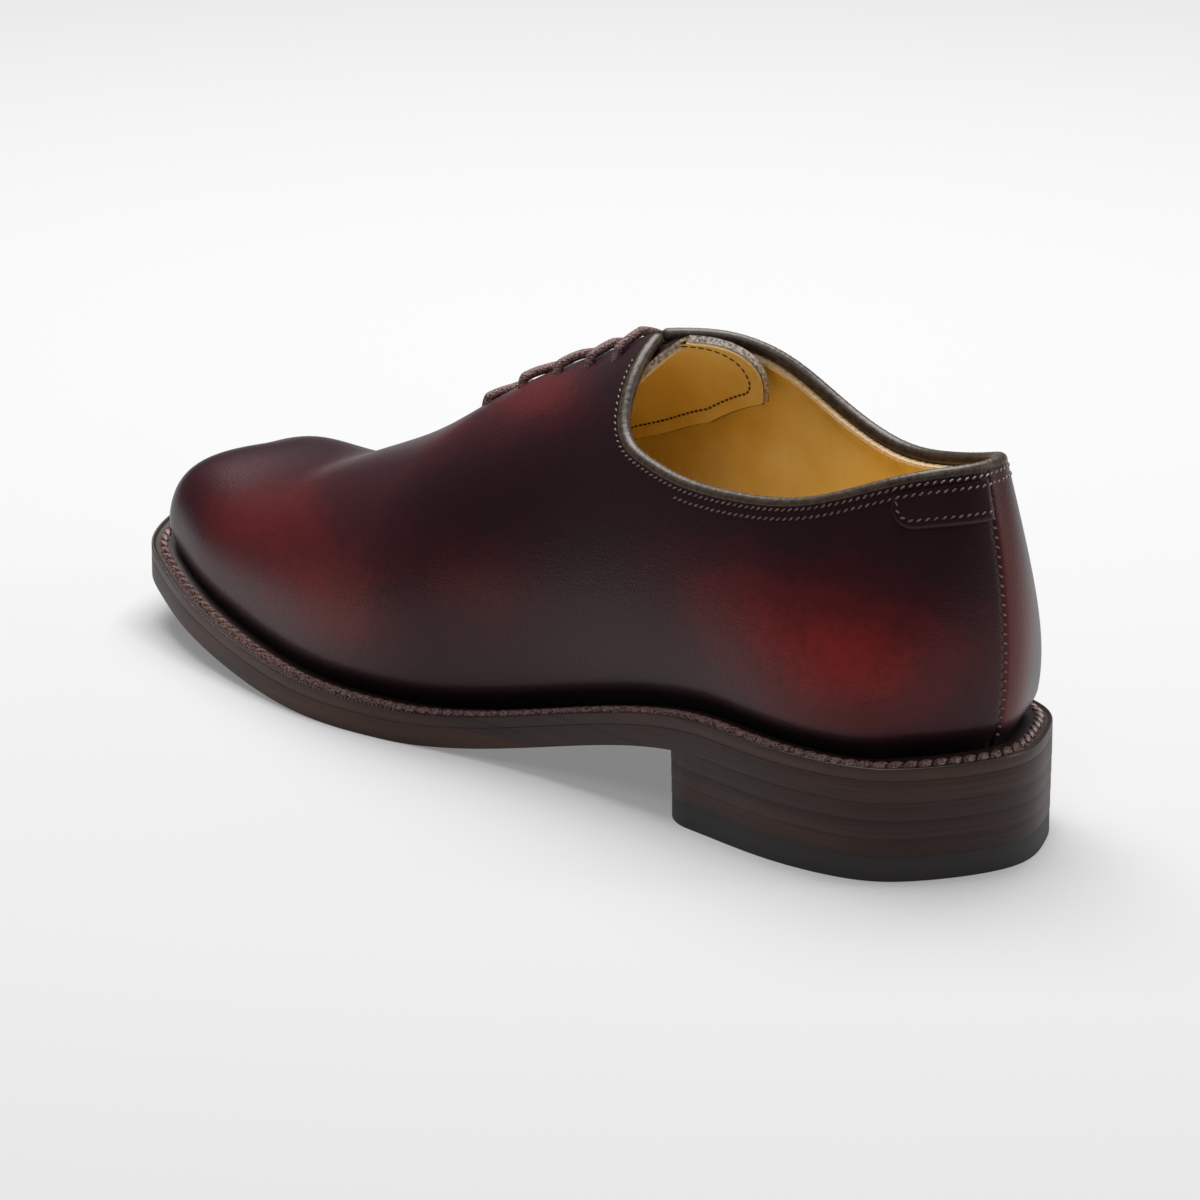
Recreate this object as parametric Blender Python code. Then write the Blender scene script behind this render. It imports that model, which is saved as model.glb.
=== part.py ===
"""Whole cut oxford, the left shoe of a pair, standing empty on its sole.

Metres. +Y runs from heel to toe, +X to the wearer's right (the inner side of a left shoe), +Z up.
The origin is on the floor under the middle of the heel. The functions below measure Y from the
sole's back end, and each finished piece is moved back by ORIGIN_FROM_BACK.
Every long form is read round the shoe by one row parameter u. It counts table rows from the heel's
back (u = 0) along the lateral side to the toe tip, and on along the medial side back to the heel.
"""

import math

import bmesh
import bpy
import numpy as np

MM = 0.001

# Driving sizes
SOLE_LENGTH = 303 * MM
BALL_WIDTH = 102 * MM
HEEL_WIDTH = 76 * MM
HEEL_LENGTH = 84 * MM
HEEL_CORNER_RADIUS = 16 * MM
HEEL_TAPER = 0.3 * MM
ORIGIN_FROM_BACK = 40 * MM
HEEL_HEIGHT = 19 * MM
TOP_PIECE_THICKNESS = 6 * MM
LIFT_COUNT = 3
TOE_SPRING = 17 * MM
SEAT_SPRING = 24 * MM
FLAT_START = 168 * MM
FLAT_LENGTH = 12 * MM
OUTSOLE_THICKNESS = 5 * MM
WELT_THICKNESS = 3.2 * MM
WELT_MARGIN = 5.5 * MM
INSOLE_THICKNESS = 6 * MM
WALL = 2.0 * MM
COLLAR_HEIGHT = 64.6 * MM
INSTEP_HEIGHT = 83 * MM
SLIT_GAP = 2.4 * MM
SLIT_END_GAP = 1.1 * MM
BEAD_DIAMETER = 4.0 * MM
TAB_THICKNESS = 1.0 * MM
TONGUE_THICKNESS = 2.4 * MM
TONGUE_WIDTH = 60 * MM
TONGUE_SEWN_WIDTH = 44 * MM
TONGUE_CLEARANCE = 0.6 * MM
TONGUE_FREE_LENGTH = 24 * MM
LACE_DIAMETER = 2.4 * MM
LACE_BARS = 5
LACE_REACH = 15 * MM
LACE_CLEARANCE = 0.5 * MM
GAP = 0.3 * MM

# Mesh fineness: columns in each table row's interval, steps up a wall section, how far the steps
# near a dipping edge close up, and sides of a round tube
COLUMNS_PER_ROW = 3
SECTION_STEPS = 13
STEP_BIAS = 1.7
TUBE_SIDES = 8

# The sole's edge. along is a share of the sole's length. The half widths and the margin between the
# sole's edge and the upper are shares of the local width and of WELT_MARGIN, and ball says how far
# the local width has gone from the heel's to the ball's.
SOLE_COLUMNS = ("along", "ball", "lateral", "medial", "margin_lateral", "margin_medial")
SOLE_ROWS = (
    (-0.007, 0.00, 0.000, 0.000, 1.15, 1.15),
    (0.017, 0.00, 0.305, 0.245, 1.25, 1.08),
    (0.060, 0.00, 0.455, 0.418, 0.93, 0.88),
    (0.132, 0.00, 0.508, 0.470, 0.90, 0.90),
    (0.211, 0.00, 0.496, 0.440, 1.00, 1.00),
    (0.284, 0.10, 0.470, 0.385, 1.10, 1.10),
    (0.340, 0.25, 0.448, 0.345, 1.20, 1.15),
    (0.390, 0.40, 0.434, 0.332, 1.25, 1.15),
    (0.440, 0.60, 0.424, 0.338, 1.20, 1.10),
    (0.502, 0.80, 0.437, 0.369, 1.10, 1.05),
    (0.570, 1.00, 0.462, 0.416, 1.00, 1.00),
    (0.643, 1.00, 0.482, 0.482, 1.00, 1.00),
    (0.713, 1.00, 0.463, 0.512, 1.00, 1.00),
    (0.785, 1.00, 0.422, 0.504, 1.00, 1.00),
    (0.855, 1.00, 0.368, 0.466, 0.95, 1.00),
    (0.917, 1.00, 0.298, 0.402, 0.90, 1.00),
    (0.967, 1.00, 0.186, 0.308, 0.90, 1.00),
    (1.000, 1.00, -0.098, 0.098, 1.00, 1.00),
)

# The line that the wall sections rise to. From SLIT_START_ROW on it is the last's crest, over the
# instep and the vamp to the toe, and behind that it runs some way above the collar on either side.
# along is a share of the sole's length, across (towards the medial side) of the ball's width, and
# height, above the sole's upper side there, of INSTEP_HEIGHT.
TOP_COLUMNS = ("along", "across_lateral", "across_medial", "height")
TOP_ROWS = (
    (0.044, 0.000, 0.000, 0.966),
    (0.051, -0.082, 0.086, 0.966),
    (0.086, -0.150, 0.156, 0.960),
    (0.142, -0.183, 0.193, 0.966),
    (0.201, -0.176, 0.200, 0.978),
    (0.263, -0.137, 0.178, 1.016),
    (0.317, -0.076, 0.132, 1.052),
    (0.365, -0.006, 0.075, 1.076),
    (0.411, 0.035, 0.035, 1.064),
    (0.468, 0.041, 0.041, 1.012),
    (0.540, 0.044, 0.044, 0.926),
    (0.617, 0.047, 0.047, 0.762),
    (0.683, 0.051, 0.051, 0.628),
    (0.749, 0.056, 0.056, 0.508),
    (0.812, 0.063, 0.063, 0.396),
    (0.868, 0.072, 0.072, 0.350),
    (0.914, 0.080, 0.080, 0.300),
    (0.950, 0.088, 0.088, 0.222),
)
SLIT_START_ROW = 8
SLIT_END_ROW = 11

# The heel tab: the row that it ends at, its lower and upper edges as shares of the way up the wall,
# and how far its lower edge climbs in the round corner, which starts at TAB_CORNER_SHARE of its length.
TAB_END_ROW = 1.75
TAB_LOW_SHARE = 0.845
TAB_HIGH_SHARE = 0.98
TAB_CLIMB_SHARE = 0.12
TAB_CORNER_SHARE = 0.72

# The tongue: rows beyond the slit's end to its sewn end, the free end's rise as a share of the
# crest's, and the share of the free length that its corners are rounded by.
TONGUE_SEWN_ROWS = 0.4
TONGUE_RISE_SHARE = 0.6
TONGUE_CORNER_SHARE = 0.45

# Rows between the slit's ends and the first and the last lace bar
LACE_END_ROWS = 0.35

# Height of the collar's edge above the heel seat, as a share of COLLAR_HEIGHT, for the rows from the
# heel's back to the last one before the facings' tip.
COLLAR_COLUMNS = ("lateral", "medial")
COLLAR_ROWS = (
    (0.996, 0.996),
    (0.988, 0.990),
    (0.930, 0.936),
    (0.834, 0.868),
    (0.788, 0.842),
    (0.782, 0.935),
    (0.812, 1.072),
    (0.898, 1.160),
)

# The handles of each row's wall section, as shares of its chord: out and rise at the sole, lean
# and drop at the crest.
WALL_COLUMNS = ("out_lateral", "out_medial", "rise", "lean_lateral", "lean_medial", "drop")
WALL_ROWS = (
    (0.095, 0.095, 0.29, 0.10, 0.10, 0.31),
    (0.095, 0.100, 0.29, 0.06, 0.07, 0.31),
    (0.105, 0.105, 0.29, 0.00, 0.01, 0.28),
    (0.120, 0.110, 0.29, -0.01, 0.01, 0.25),
    (0.130, 0.110, 0.29, 0.04, 0.07, 0.24),
    (0.140, 0.110, 0.28, 0.10, 0.15, 0.22),
    (0.145, 0.110, 0.28, 0.165, 0.24, 0.18),
    (0.145, 0.110, 0.28, 0.232, 0.30, 0.13),
    (0.14, 0.11, 0.29, 0.280, 0.340, 0.09),
    (0.13, 0.10, 0.31, 0.318, 0.362, 0.06),
    (0.12, 0.09, 0.33, 0.35, 0.38, 0.03),
    (0.10, 0.08, 0.36, 0.38, 0.40, 0.01),
    (0.08, 0.07, 0.40, 0.42, 0.42, 0.00),
    (0.07, 0.06, 0.44, 0.45, 0.41, 0.00),
    (0.06, 0.06, 0.48, 0.48, 0.42, 0.00),
    (0.05, 0.05, 0.52, 0.52, 0.46, 0.00),
    (0.04, 0.04, 0.50, 0.54, 0.54, 0.00),
    (0.03, 0.03, 0.50, 0.55, 0.55, 0.00),
)
TOE_ROW = len(SOLE_ROWS) - 1


def column(rows, columns, name):
    return np.array([row[columns.index(name)] for row in rows], float)


def loop_values(rows, columns, lateral, medial, lateral_sign=1.0):
    """A value for each row round the shoe: heel, lateral rows, toe, then the medial rows back."""
    near = lateral_sign * column(rows, columns, lateral)
    far = column(rows, columns, medial)
    return np.concatenate([near, far[-2:0:-1]])


def ring_spline(values, u):
    """A closed cubic spline with one knot a row, read at the row parameters u."""
    values = np.asarray(values, float)
    count = len(values)
    matrix = 4 * np.eye(count) + np.roll(np.eye(count), 1, 0) + np.roll(np.eye(count), -1, 0)
    bends = np.linalg.solve(matrix, 6 * (np.roll(values, 1) - 2 * values + np.roll(values, -1)))
    return read_spline(values, bends, np.mod(u, count))


def open_spline(values, u):
    """An open natural cubic spline with one knot a row, read at the row parameters u."""
    values = np.asarray(values, float)
    count = len(values)
    matrix = 4 * np.eye(count) + np.eye(count, k=1) + np.eye(count, k=-1)
    matrix[0] = np.eye(count)[0]
    matrix[-1] = np.eye(count)[-1]
    right = np.zeros(count)
    right[1:-1] = 6 * (values[:-2] - 2 * values[1:-1] + values[2:])
    return read_spline(values, np.linalg.solve(matrix, right), np.clip(u, 0, count - 1))


def read_spline(values, bends, u):
    first = np.minimum(np.floor(u).astype(int), len(values) - 1)
    after = (first + 1) % len(values)
    t = u - first
    s = 1 - t
    straight = s * values[first] + t * values[after]
    return straight + ((s**3 - s) * bends[first] + (t**3 - t) * bends[after]) / 6


def smoothstep(t):
    t = np.clip(t, 0, 1)
    return t * t * (3 - 2 * t)


def unit(vectors):
    return vectors / np.linalg.norm(vectors, axis=-1, keepdims=True)


def sole_under_side(y):
    """Height of the outsole's under side: heel seat, falling waist, flat tread, toe spring. The
    seat ends SEAT_SPRING behind the heel's breast."""
    seat_end = HEEL_LENGTH - SEAT_SPRING
    waist = HEEL_HEIGHT * (1 - smoothstep((y - seat_end) / (FLAT_START - seat_end)))
    beyond = np.clip((y - FLAT_START - FLAT_LENGTH) / (SOLE_LENGTH - FLAT_START - FLAT_LENGTH), 0, None)
    return waist + TOE_SPRING * beyond**2


def feather_height(y):
    """Height of the upper's lower rim, which stands on the welt."""
    return sole_under_side(y) + OUTSOLE_THICKNESS + GAP + WELT_THICKNESS + GAP


def sole_edge(u):
    """Points (x, y) of the sole's edge."""
    width = HEEL_WIDTH + column(SOLE_ROWS, SOLE_COLUMNS, "ball") * (BALL_WIDTH - HEEL_WIDTH)
    across = loop_values(SOLE_ROWS, SOLE_COLUMNS, "lateral", "medial", -1.0)
    across = across * np.concatenate([width, width[-2:0:-1]])
    along = loop_values(SOLE_ROWS, SOLE_COLUMNS, "along", "along") * SOLE_LENGTH
    return np.stack([ring_spline(across, u), ring_spline(along, u)], -1)


def edge_outward(u):
    """The level direction that points away from the shoe at the sole's edge."""
    ahead = sole_edge(u + 0.01) - sole_edge(u - 0.01)
    return unit(np.stack([-ahead[..., 1], ahead[..., 0]], -1))


def welt_margin(u):
    return WELT_MARGIN * ring_spline(
        loop_values(SOLE_ROWS, SOLE_COLUMNS, "margin_lateral", "margin_medial"), u
    )


def inset_edge(u, inset):
    return sole_edge(u) - edge_outward(u) * np.asarray(inset)[..., None]


def top_line(u):
    """Points of the line that the wall sections rise to, read round the shoe."""
    along = loop_values(TOP_ROWS, TOP_COLUMNS, "along", "along") * SOLE_LENGTH
    across = loop_values(TOP_ROWS, TOP_COLUMNS, "across_lateral", "across_medial") * BALL_WIDTH
    height = loop_values(TOP_ROWS, TOP_COLUMNS, "height", "height") * INSTEP_HEIGHT
    y = ring_spline(along, u)
    z = feather_height(y) + ring_spline(height, u)
    return np.stack([ring_spline(across, u), y, z], -1)


def crest(row):
    """Points of the crest line at the table rows row, midway between the lateral and the medial side."""
    return (top_line(row) + top_line(2 * TOE_ROW - row)) / 2


def row_of(u):
    """The table row at u, counted from the heel on either side."""
    u = np.mod(u, 2 * TOE_ROW)
    return np.minimum(u, 2 * TOE_ROW - u)


def wall_value(name, u):
    lateral, medial = name, name
    if name in ("out", "lean"):
        lateral, medial = name + "_lateral", name + "_medial"
    return ring_spline(loop_values(WALL_ROWS, WALL_COLUMNS, lateral, medial), u)


def crest_slope(row):
    """Rise of the crest for each metre along Y on the vamp, easing to 0 behind the slit."""
    row = np.clip(row, SLIT_START_ROW - 1, TOE_ROW - 0.01)
    step = crest(row + 0.01) - crest(row - 0.01)
    return smoothstep((row - SLIT_START_ROW + 1) / 3) * step[..., 2] / step[..., 1]


def section_points(u):
    """The four Bezier points of the wall section at u, from the sole to the crest. The handles are
    shares of the chord, and the last one lies in the crest's tangent plane, so that the lateral and
    the medial side meet smoothly there."""
    foot_xy = inset_edge(u, welt_margin(u))
    foot = np.concatenate([foot_xy, feather_height(foot_xy[..., 1])[..., None]], -1)
    row = row_of(u)[..., None]
    closed = smoothstep((row - SLIT_START_ROW) / (SLIT_END_ROW - SLIT_START_ROW))
    top = closed * crest(row_of(u)) + (1 - closed) * top_line(u)
    chord = np.linalg.norm(top - foot, axis=-1)[..., None]
    outward = np.concatenate([edge_outward(u), np.zeros(np.shape(u) + (1,))], -1)
    up = np.array([0.0, 0.0, 1.0])
    out, rise, lean, drop = (wall_value(name, u)[..., None] for name in ("out", "rise", "lean", "drop"))
    low = foot + chord * (out * outward + rise * up)
    fall = drop - lean * outward[..., 1:2] * crest_slope(row_of(u))[..., None]
    high = top + chord * (lean * outward - fall * up)
    return foot, low, high, top


def upper_surface(u, v):
    """Points of the last's surface, which is the upper's outer side: v is 0 at the sole and 1 at the
    crest."""
    u, v = np.broadcast_arrays(np.asarray(u, float), np.asarray(v, float))
    foot, low, high, top = section_points(u)
    t = v[..., None]
    s = 1 - t
    return s**3 * foot + 3 * s * s * t * low + 3 * s * t * t * high + t**3 * top


def upper_normal(u, v):
    step = 0.01
    low, high = np.clip(v - step, 0, 1), np.clip(v + step, 0, 1)
    along = upper_surface(u + step, v) - upper_surface(u - step, v)
    upwards = upper_surface(u, high) - upper_surface(u, low)
    return unit(np.cross(upwards, along))


def slit_edge(u):
    """v at the facing's edge, half a slit away from the crest, and 1 beyond the slit's end."""
    share = (SLIT_END_ROW - row_of(u)) / (SLIT_END_ROW - SLIT_START_ROW)
    gap = SLIT_END_GAP + (SLIT_GAP - SLIT_END_GAP) * np.clip(share, 0, 1)
    half_gap = np.where(share > 0, gap / 2, 0)
    high, top = section_points(u)[2:]
    return 1 - half_gap / (3 * np.linalg.norm(top - high, axis=-1))


def wall_steps(edge, count):
    """v at count + 1 steps from the sole to the upper's edge. The lower steps lie at nearly the same
    v all round, and the upper ones give way to the collar's dip."""
    share = np.linspace(0, 1, count + 1)
    return share - (1 - edge[:, None]) * share**STEP_BIAS


def top_of_wall(u):
    """v at the upper's edge: the collar, where the section reaches the collar's height, then the slit
    and the closed vamp."""
    u = np.mod(np.atleast_1d(np.asarray(u, float)), 2 * TOE_ROW)
    edge = slit_edge(u)
    seat = feather_height(np.array(0.0))
    near, far = (seat + COLLAR_HEIGHT * column(COLLAR_ROWS, COLLAR_COLUMNS, side) for side in COLLAR_COLUMNS)
    tips = [float(upper_surface(at, slit_edge(at))[2])
            for at in (np.array(float(SLIT_START_ROW)), np.array(float(2 * TOE_ROW - SLIT_START_ROW)))]
    heights = np.concatenate([[tips[0]], near[::-1], far[1:], [tips[1]]])
    position = np.where(u > TOE_ROW, row_of(u), -row_of(u))
    steps = np.linspace(0, 1, 81)
    for k in np.flatnonzero(row_of(u) < SLIT_START_ROW):
        height = open_spline(heights, position[k] + SLIT_START_ROW)
        edge[k] = np.interp(height, upper_surface(u[k], steps)[:, 2], steps)
    return edge


def material_of(name, rgb, roughness, coat=0.0):
    material = bpy.data.materials.new(name)
    material.use_nodes = True
    shader = material.node_tree.nodes["Principled BSDF"]
    shader.inputs["Base Color"].default_value = (*rgb, 1)
    shader.inputs["Roughness"].default_value = roughness
    shader.inputs["Coat Weight"].default_value = coat
    material.diffuse_color = (*rgb, 1)
    return material


def add_piece(name, points, faces, material, smooth=True):
    """A closed mesh as an object, with its faces turned outwards."""
    mesh = bpy.data.meshes.new(name)
    placed = np.asarray(points) - np.array([0, ORIGIN_FROM_BACK, 0])
    mesh.from_pydata(placed.tolist(), [], faces)
    build = bmesh.new()
    build.from_mesh(mesh)
    bmesh.ops.recalc_face_normals(build, faces=build.faces)
    build.to_mesh(mesh)
    build.free()
    if smooth:
        mesh.shade_smooth()
        mesh.set_sharp_from_angle(angle=math.radians(40))
    mesh.materials.append(material)
    piece = bpy.data.objects.new(name, mesh)
    bpy.context.collection.objects.link(piece)
    return piece


def strip(first, second):
    """Quads between two closed rows of point numbers."""
    count = len(first)
    return [
        (first[i], first[(i + 1) % count], second[(i + 1) % count], second[i]) for i in range(count)
    ]


def ladder(ring):
    """A cap over a ring whose point i lies across from point count - i."""
    count = len(ring)
    half = count // 2
    faces = [(ring[0], ring[1], ring[-1])]
    faces += [(ring[i], ring[i + 1], ring[count - i - 1], ring[count - i]) for i in range(1, half - 1)]
    faces.append((ring[half - 1], ring[half], ring[half + 1]))
    return faces


def add_plate(name, lower, upper, material):
    """A solid between two rings with as many points each."""
    count = len(lower)
    bottom = list(range(count))
    top = list(range(count, 2 * count))
    faces = ladder(bottom) + ladder(top) + strip(bottom, top)
    return add_piece(name, np.concatenate([lower, upper]), faces, material)


def round_the_shoe(columns_per_row=COLUMNS_PER_ROW):
    return np.arange(2 * TOE_ROW * columns_per_row) / columns_per_row


def at_height(edge, height):
    """Points of a level outline, raised to a height for each of them."""
    return np.column_stack([edge, np.broadcast_to(height, len(edge))])


def heel_outline(inset):
    """The heel's outline: the sole's edge, cut off at the breast with two round corners. Point i
    lies across from point count - i, and one point is in the middle of the breast."""
    rows = np.linspace(0, TOE_ROW, 800)
    corner_start = HEEL_LENGTH - inset - HEEL_CORNER_RADIUS
    last = np.interp(corner_start, sole_edge(rows)[:, 1], rows)
    side_rows = np.linspace(0, last, 16)[1:]
    turns = np.linspace(0, math.pi / 2, 7)[1:]
    halves = []
    for rows_here, sign in ((side_rows, -1), (2 * TOE_ROW - side_rows, 1)):
        side = inset_edge(rows_here, np.full(len(rows_here), inset))
        centre = side[-1] - np.array([sign * HEEL_CORNER_RADIUS, 0])
        corner = centre + HEEL_CORNER_RADIUS * np.column_stack([sign * np.cos(turns), np.sin(turns)])
        halves.append(np.concatenate([side, corner]))
    back = inset_edge(np.array([0.0]), np.array([inset]))
    front = (halves[0][-1:] + halves[1][-1:]) / 2
    return np.concatenate([back, halves[0], front, halves[1][::-1]])


def add_sole_unit(leather_edge, top_rubber, welt_leather, insole_leather):
    u = round_the_shoe()
    edge = sole_edge(u)
    under = sole_under_side(edge[:, 1])
    add_plate("outsole", at_height(edge, under), at_height(edge, under + OUTSOLE_THICKNESS), leather_edge)

    inner = inset_edge(u, welt_margin(u) + WALL + GAP)
    rings = []
    for line, lift in ((edge, 0), (edge, WELT_THICKNESS), (inner, WELT_THICKNESS), (inner, 0)):
        rings.append(at_height(line, sole_under_side(line[:, 1]) + OUTSOLE_THICKNESS + GAP + lift))
    count = len(u)
    numbers = [list(range(k * count, (k + 1) * count)) for k in range(4)]
    faces = []
    for k in range(4):
        faces += strip(numbers[k], numbers[(k + 1) % 4])
    add_piece("welt", np.concatenate(rings), faces, welt_leather)

    board = inset_edge(u, welt_margin(u) + WALL + 2 * GAP)
    seat = sole_under_side(board[:, 1]) + OUTSOLE_THICKNESS + GAP
    add_plate("insole", at_height(board, seat), at_height(board, seat + INSOLE_THICKNESS), insole_leather)

    lift_thickness = (HEEL_HEIGHT - TOP_PIECE_THICKNESS - (LIFT_COUNT + 1) * GAP) / LIFT_COUNT
    layers = [("heel_top_piece", TOP_PIECE_THICKNESS, top_rubber)]
    layers += [(f"heel_lift_{n + 1}", lift_thickness, leather_edge) for n in range(LIFT_COUNT)]
    floor = 0.0
    for name, thickness, material in layers:
        rings = []
        for height in (floor, floor + thickness):
            outline = heel_outline(HEEL_TAPER * (1 - height / HEEL_HEIGHT))
            seat = sole_under_side(outline[:, 1]) - GAP
            rings.append(at_height(outline, np.minimum(height, seat)))
        add_plate(name, *rings, material)
        floor += thickness + GAP


def vertex_normals(points, faces):
    faces = np.array(faces)
    across = points[faces[:, 2]] - points[faces[:, 0]]
    other = points[faces[:, 3]] - points[faces[:, 1]]
    face_normals = np.cross(across, other)
    normals = np.zeros_like(points)
    for corner in range(4):
        np.add.at(normals, faces[:, corner], face_normals)
    return unit(normals)


def add_upper(leather):
    """One hollow shell. The grid's top points on the vamp's crest are shared by both sides, which
    closes it there and leaves the collar, the slit and the underside open."""
    u = round_the_shoe()
    count = len(u)
    v = wall_steps(top_of_wall(u), SECTION_STEPS)
    points = upper_surface(u[:, None], v).reshape(-1, 3)
    number = np.arange(len(points)).reshape(count, SECTION_STEPS + 1)
    last_open = SLIT_END_ROW * COLUMNS_PER_ROW
    half = count // 2
    closed = np.arange(last_open, half)
    number[count - closed, -1] = number[closed, -1]
    faces = []
    for i in range(count):
        k = (i + 1) % count
        for j in range(SECTION_STEPS):
            faces.append((number[i, j], number[i, j + 1], number[k, j + 1], number[k, j]))
    used, index = np.unique(np.array(faces), return_inverse=True)
    faces = index.reshape(-1, 4)
    points = points[used]
    renumber = np.full(count * (SECTION_STEPS + 1), -1)
    renumber[used] = np.arange(len(used))

    normals = vertex_normals(points, faces)
    foot = renumber[number[:, 0]]
    normals[foot, 2] = 0
    normals[foot] = unit(normals[foot])
    inside = points - WALL * normals
    shift = len(points)
    shell = [tuple(face) for face in faces] + [tuple(face[::-1] + shift) for face in faces]
    shell += strip(list(foot), list(foot + shift))
    rim_columns = np.concatenate([np.arange(0, last_open + 1), np.arange(count - last_open + 1, count)])
    rim = renumber[number[rim_columns, -1]]
    shell += strip(list(rim), list(rim + shift))
    shell = [tuple(int(n) for n in face) for face in shell]
    return add_piece("upper", np.concatenate([points, inside]), shell, leather)


def tube(path, radius):
    """Points and faces of a round tube along a path, with flat ends."""
    sides = TUBE_SIDES
    ahead = unit(np.gradient(path, axis=0))
    frames = [np.cross(ahead[0], [0.0, 0.0, 1.0])]
    for direction in ahead:
        carried = frames[-1] - direction * np.dot(frames[-1], direction)
        frames.append(carried / np.linalg.norm(carried))
    first = np.array(frames[1:])
    second = np.cross(ahead, first)
    turns = np.arange(sides) * 2 * math.pi / sides
    rings = (
        path[:, None]
        + radius * np.cos(turns)[None, :, None] * first[:, None]
        + radius * np.sin(turns)[None, :, None] * second[:, None]
    )
    faces = []
    for i in range(len(path) - 1):
        low = list(range(i * sides, (i + 1) * sides))
        high = list(range((i + 1) * sides, (i + 2) * sides))
        faces += strip(low, high)
    faces.append(tuple(range(sides)))
    faces.append(tuple(range((len(path) - 1) * sides, len(path) * sides)))
    return rings.reshape(-1, 3), faces


def add_collar_binding(leather):
    """The rolled edge that stands on the collar's rim from one facing tip to the other."""
    position = np.linspace(-SLIT_START_ROW, SLIT_START_ROW, 64)
    u = np.mod(-position, 2 * TOE_ROW)
    u[position == 0] = 0
    edge = upper_surface(u, top_of_wall(u))
    normal = upper_normal(u, top_of_wall(u))
    away = unit(np.cross(normal, np.gradient(edge, axis=0)))
    path = edge - normal * WALL / 2 + away * (BEAD_DIAMETER / 2 + GAP)
    points, faces = tube(path, BEAD_DIAMETER / 2)
    add_piece("collar_binding", points, faces, leather)


def add_sheet(name, inner, outer, material):
    """A closed solid between two grids with as many points each."""
    rows, columns = inner.shape[:2]
    number = np.arange(rows * columns).reshape(rows, columns)
    shift = rows * columns
    faces = []
    for i in range(rows - 1):
        for j in range(columns - 1):
            face = (number[i, j], number[i, j + 1], number[i + 1, j + 1], number[i + 1, j])
            faces.append(face)
            faces.append(tuple(n + shift for n in face[::-1]))
    border = np.concatenate([number[0, :-1], number[:-1, -1], number[-1, :0:-1], number[:0:-1, 0]])
    faces += strip(list(border), list(border + shift))
    faces = [tuple(int(n) for n in face) for face in faces]
    points = np.concatenate([inner.reshape(-1, 3), outer.reshape(-1, 3)])
    add_piece(name, points, faces, material)


def add_heel_tab(leather):
    """The quarter's tail that crosses the back seam at the collar on to the lateral side."""
    rows = np.linspace(0.0, TAB_END_ROW, 12)
    share = rows / rows[-1]
    climb = np.clip((share - TAB_CORNER_SHARE) / (1 - TAB_CORNER_SHARE), 0, 1) ** 2
    low_v = TAB_LOW_SHARE + TAB_CLIMB_SHARE * climb
    v = low_v[:, None] + (TAB_HIGH_SHARE - low_v[:, None]) * np.linspace(0, 1, 5)[None, :]
    v = v * top_of_wall(rows)[:, None]
    u = np.broadcast_to(rows[:, None], v.shape)
    base = upper_surface(u, v)
    normal = upper_normal(u, v)
    inner = base + normal * GAP
    outer = base + normal * (GAP + TAB_THICKNESS)
    add_sheet("heel_tab", inner, outer, leather)


def tongue_surface(along, across):
    """Points of the tongue's upper side: along is 0 at its sewn end, 1 under the facings' tips and
    more on its free end, and across runs from -1 (lateral) to 1. It lies under the facings, as deep
    as keeps it clear of the collar's bead, and the free end runs on from there, rising less."""
    sewn_row = SLIT_END_ROW + TONGUE_SEWN_ROWS
    row = sewn_row - np.clip(along, 0, 1) * (sewn_row - SLIT_START_ROW)
    width = TONGUE_SEWN_WIDTH + (TONGUE_WIDTH - TONGUE_SEWN_WIDTH) * smoothstep(along)
    reach = np.abs(across) * width / 2
    depth = WALL / 2 + BEAD_DIAMETER / 2 + TONGUE_CLEARANCE

    def below(u):
        high, top = section_points(u)[2:]
        v = 1 - reach / (3 * np.linalg.norm(top - high, axis=-1))
        return upper_surface(u, v) - depth * upper_normal(u, v)

    lateral, medial = below(row), below(2 * TOE_ROW - row)
    share = ((1 + np.sign(across)) / 2)[..., None]
    points = (1 - share) * lateral + share * medial
    tip, before = crest(float(SLIT_START_ROW)), crest(SLIT_START_ROW + 0.5)
    ahead = (tip - before) / np.linalg.norm(tip - before) * np.array([1.0, 1.0, TONGUE_RISE_SHARE])
    return points + np.clip(along - 1, 0, None)[..., None] * TONGUE_FREE_LENGTH * ahead


def add_tongue(leather):
    along = np.concatenate([np.linspace(0, 1, 13), [1.33, 1.67, 2.0]])[:, None]
    across = np.linspace(-1, 1, 13)[None, :]
    corner = TONGUE_CORNER_SHARE * across**6 * smoothstep(along - 1)
    along, across = np.broadcast_arrays(along - corner, across)
    outer = tongue_surface(along, across)
    normal = unit(np.cross(np.gradient(outer, axis=0), np.gradient(outer, axis=1)))
    normal = normal * np.sign(normal[..., 2:3])
    add_sheet("tongue", outer - normal * TONGUE_THICKNESS, outer, leather)


def add_lace_bars(lace):
    """Straight bars across the slit, each lying on both facings."""
    first, last = SLIT_START_ROW + LACE_END_ROWS, SLIT_END_ROW - LACE_END_ROWS
    for n in range(LACE_BARS):
        row = first + (last - first) * n / (LACE_BARS - 1)
        centre = crest(np.array(row))
        near = upper_surface(row, np.linspace(0.80, 1.0, 9))
        far = upper_surface(2 * TOE_ROW - row, np.linspace(1.0, 0.80, 9))
        line = np.concatenate([near, far])
        line_x = np.linspace(centre[0] - LACE_REACH / 2, centre[0] + LACE_REACH / 2, 9)
        y = np.full(9, centre[1])
        z = np.interp(line_x, line[:, 0], line[:, 2]) + LACE_DIAMETER / 2 + LACE_CLEARANCE
        points, faces = tube(np.column_stack([line_x, y, z]), LACE_DIAMETER / 2)
        add_piece(f"lace_bar_{n + 1}", points, faces, lace)


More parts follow.
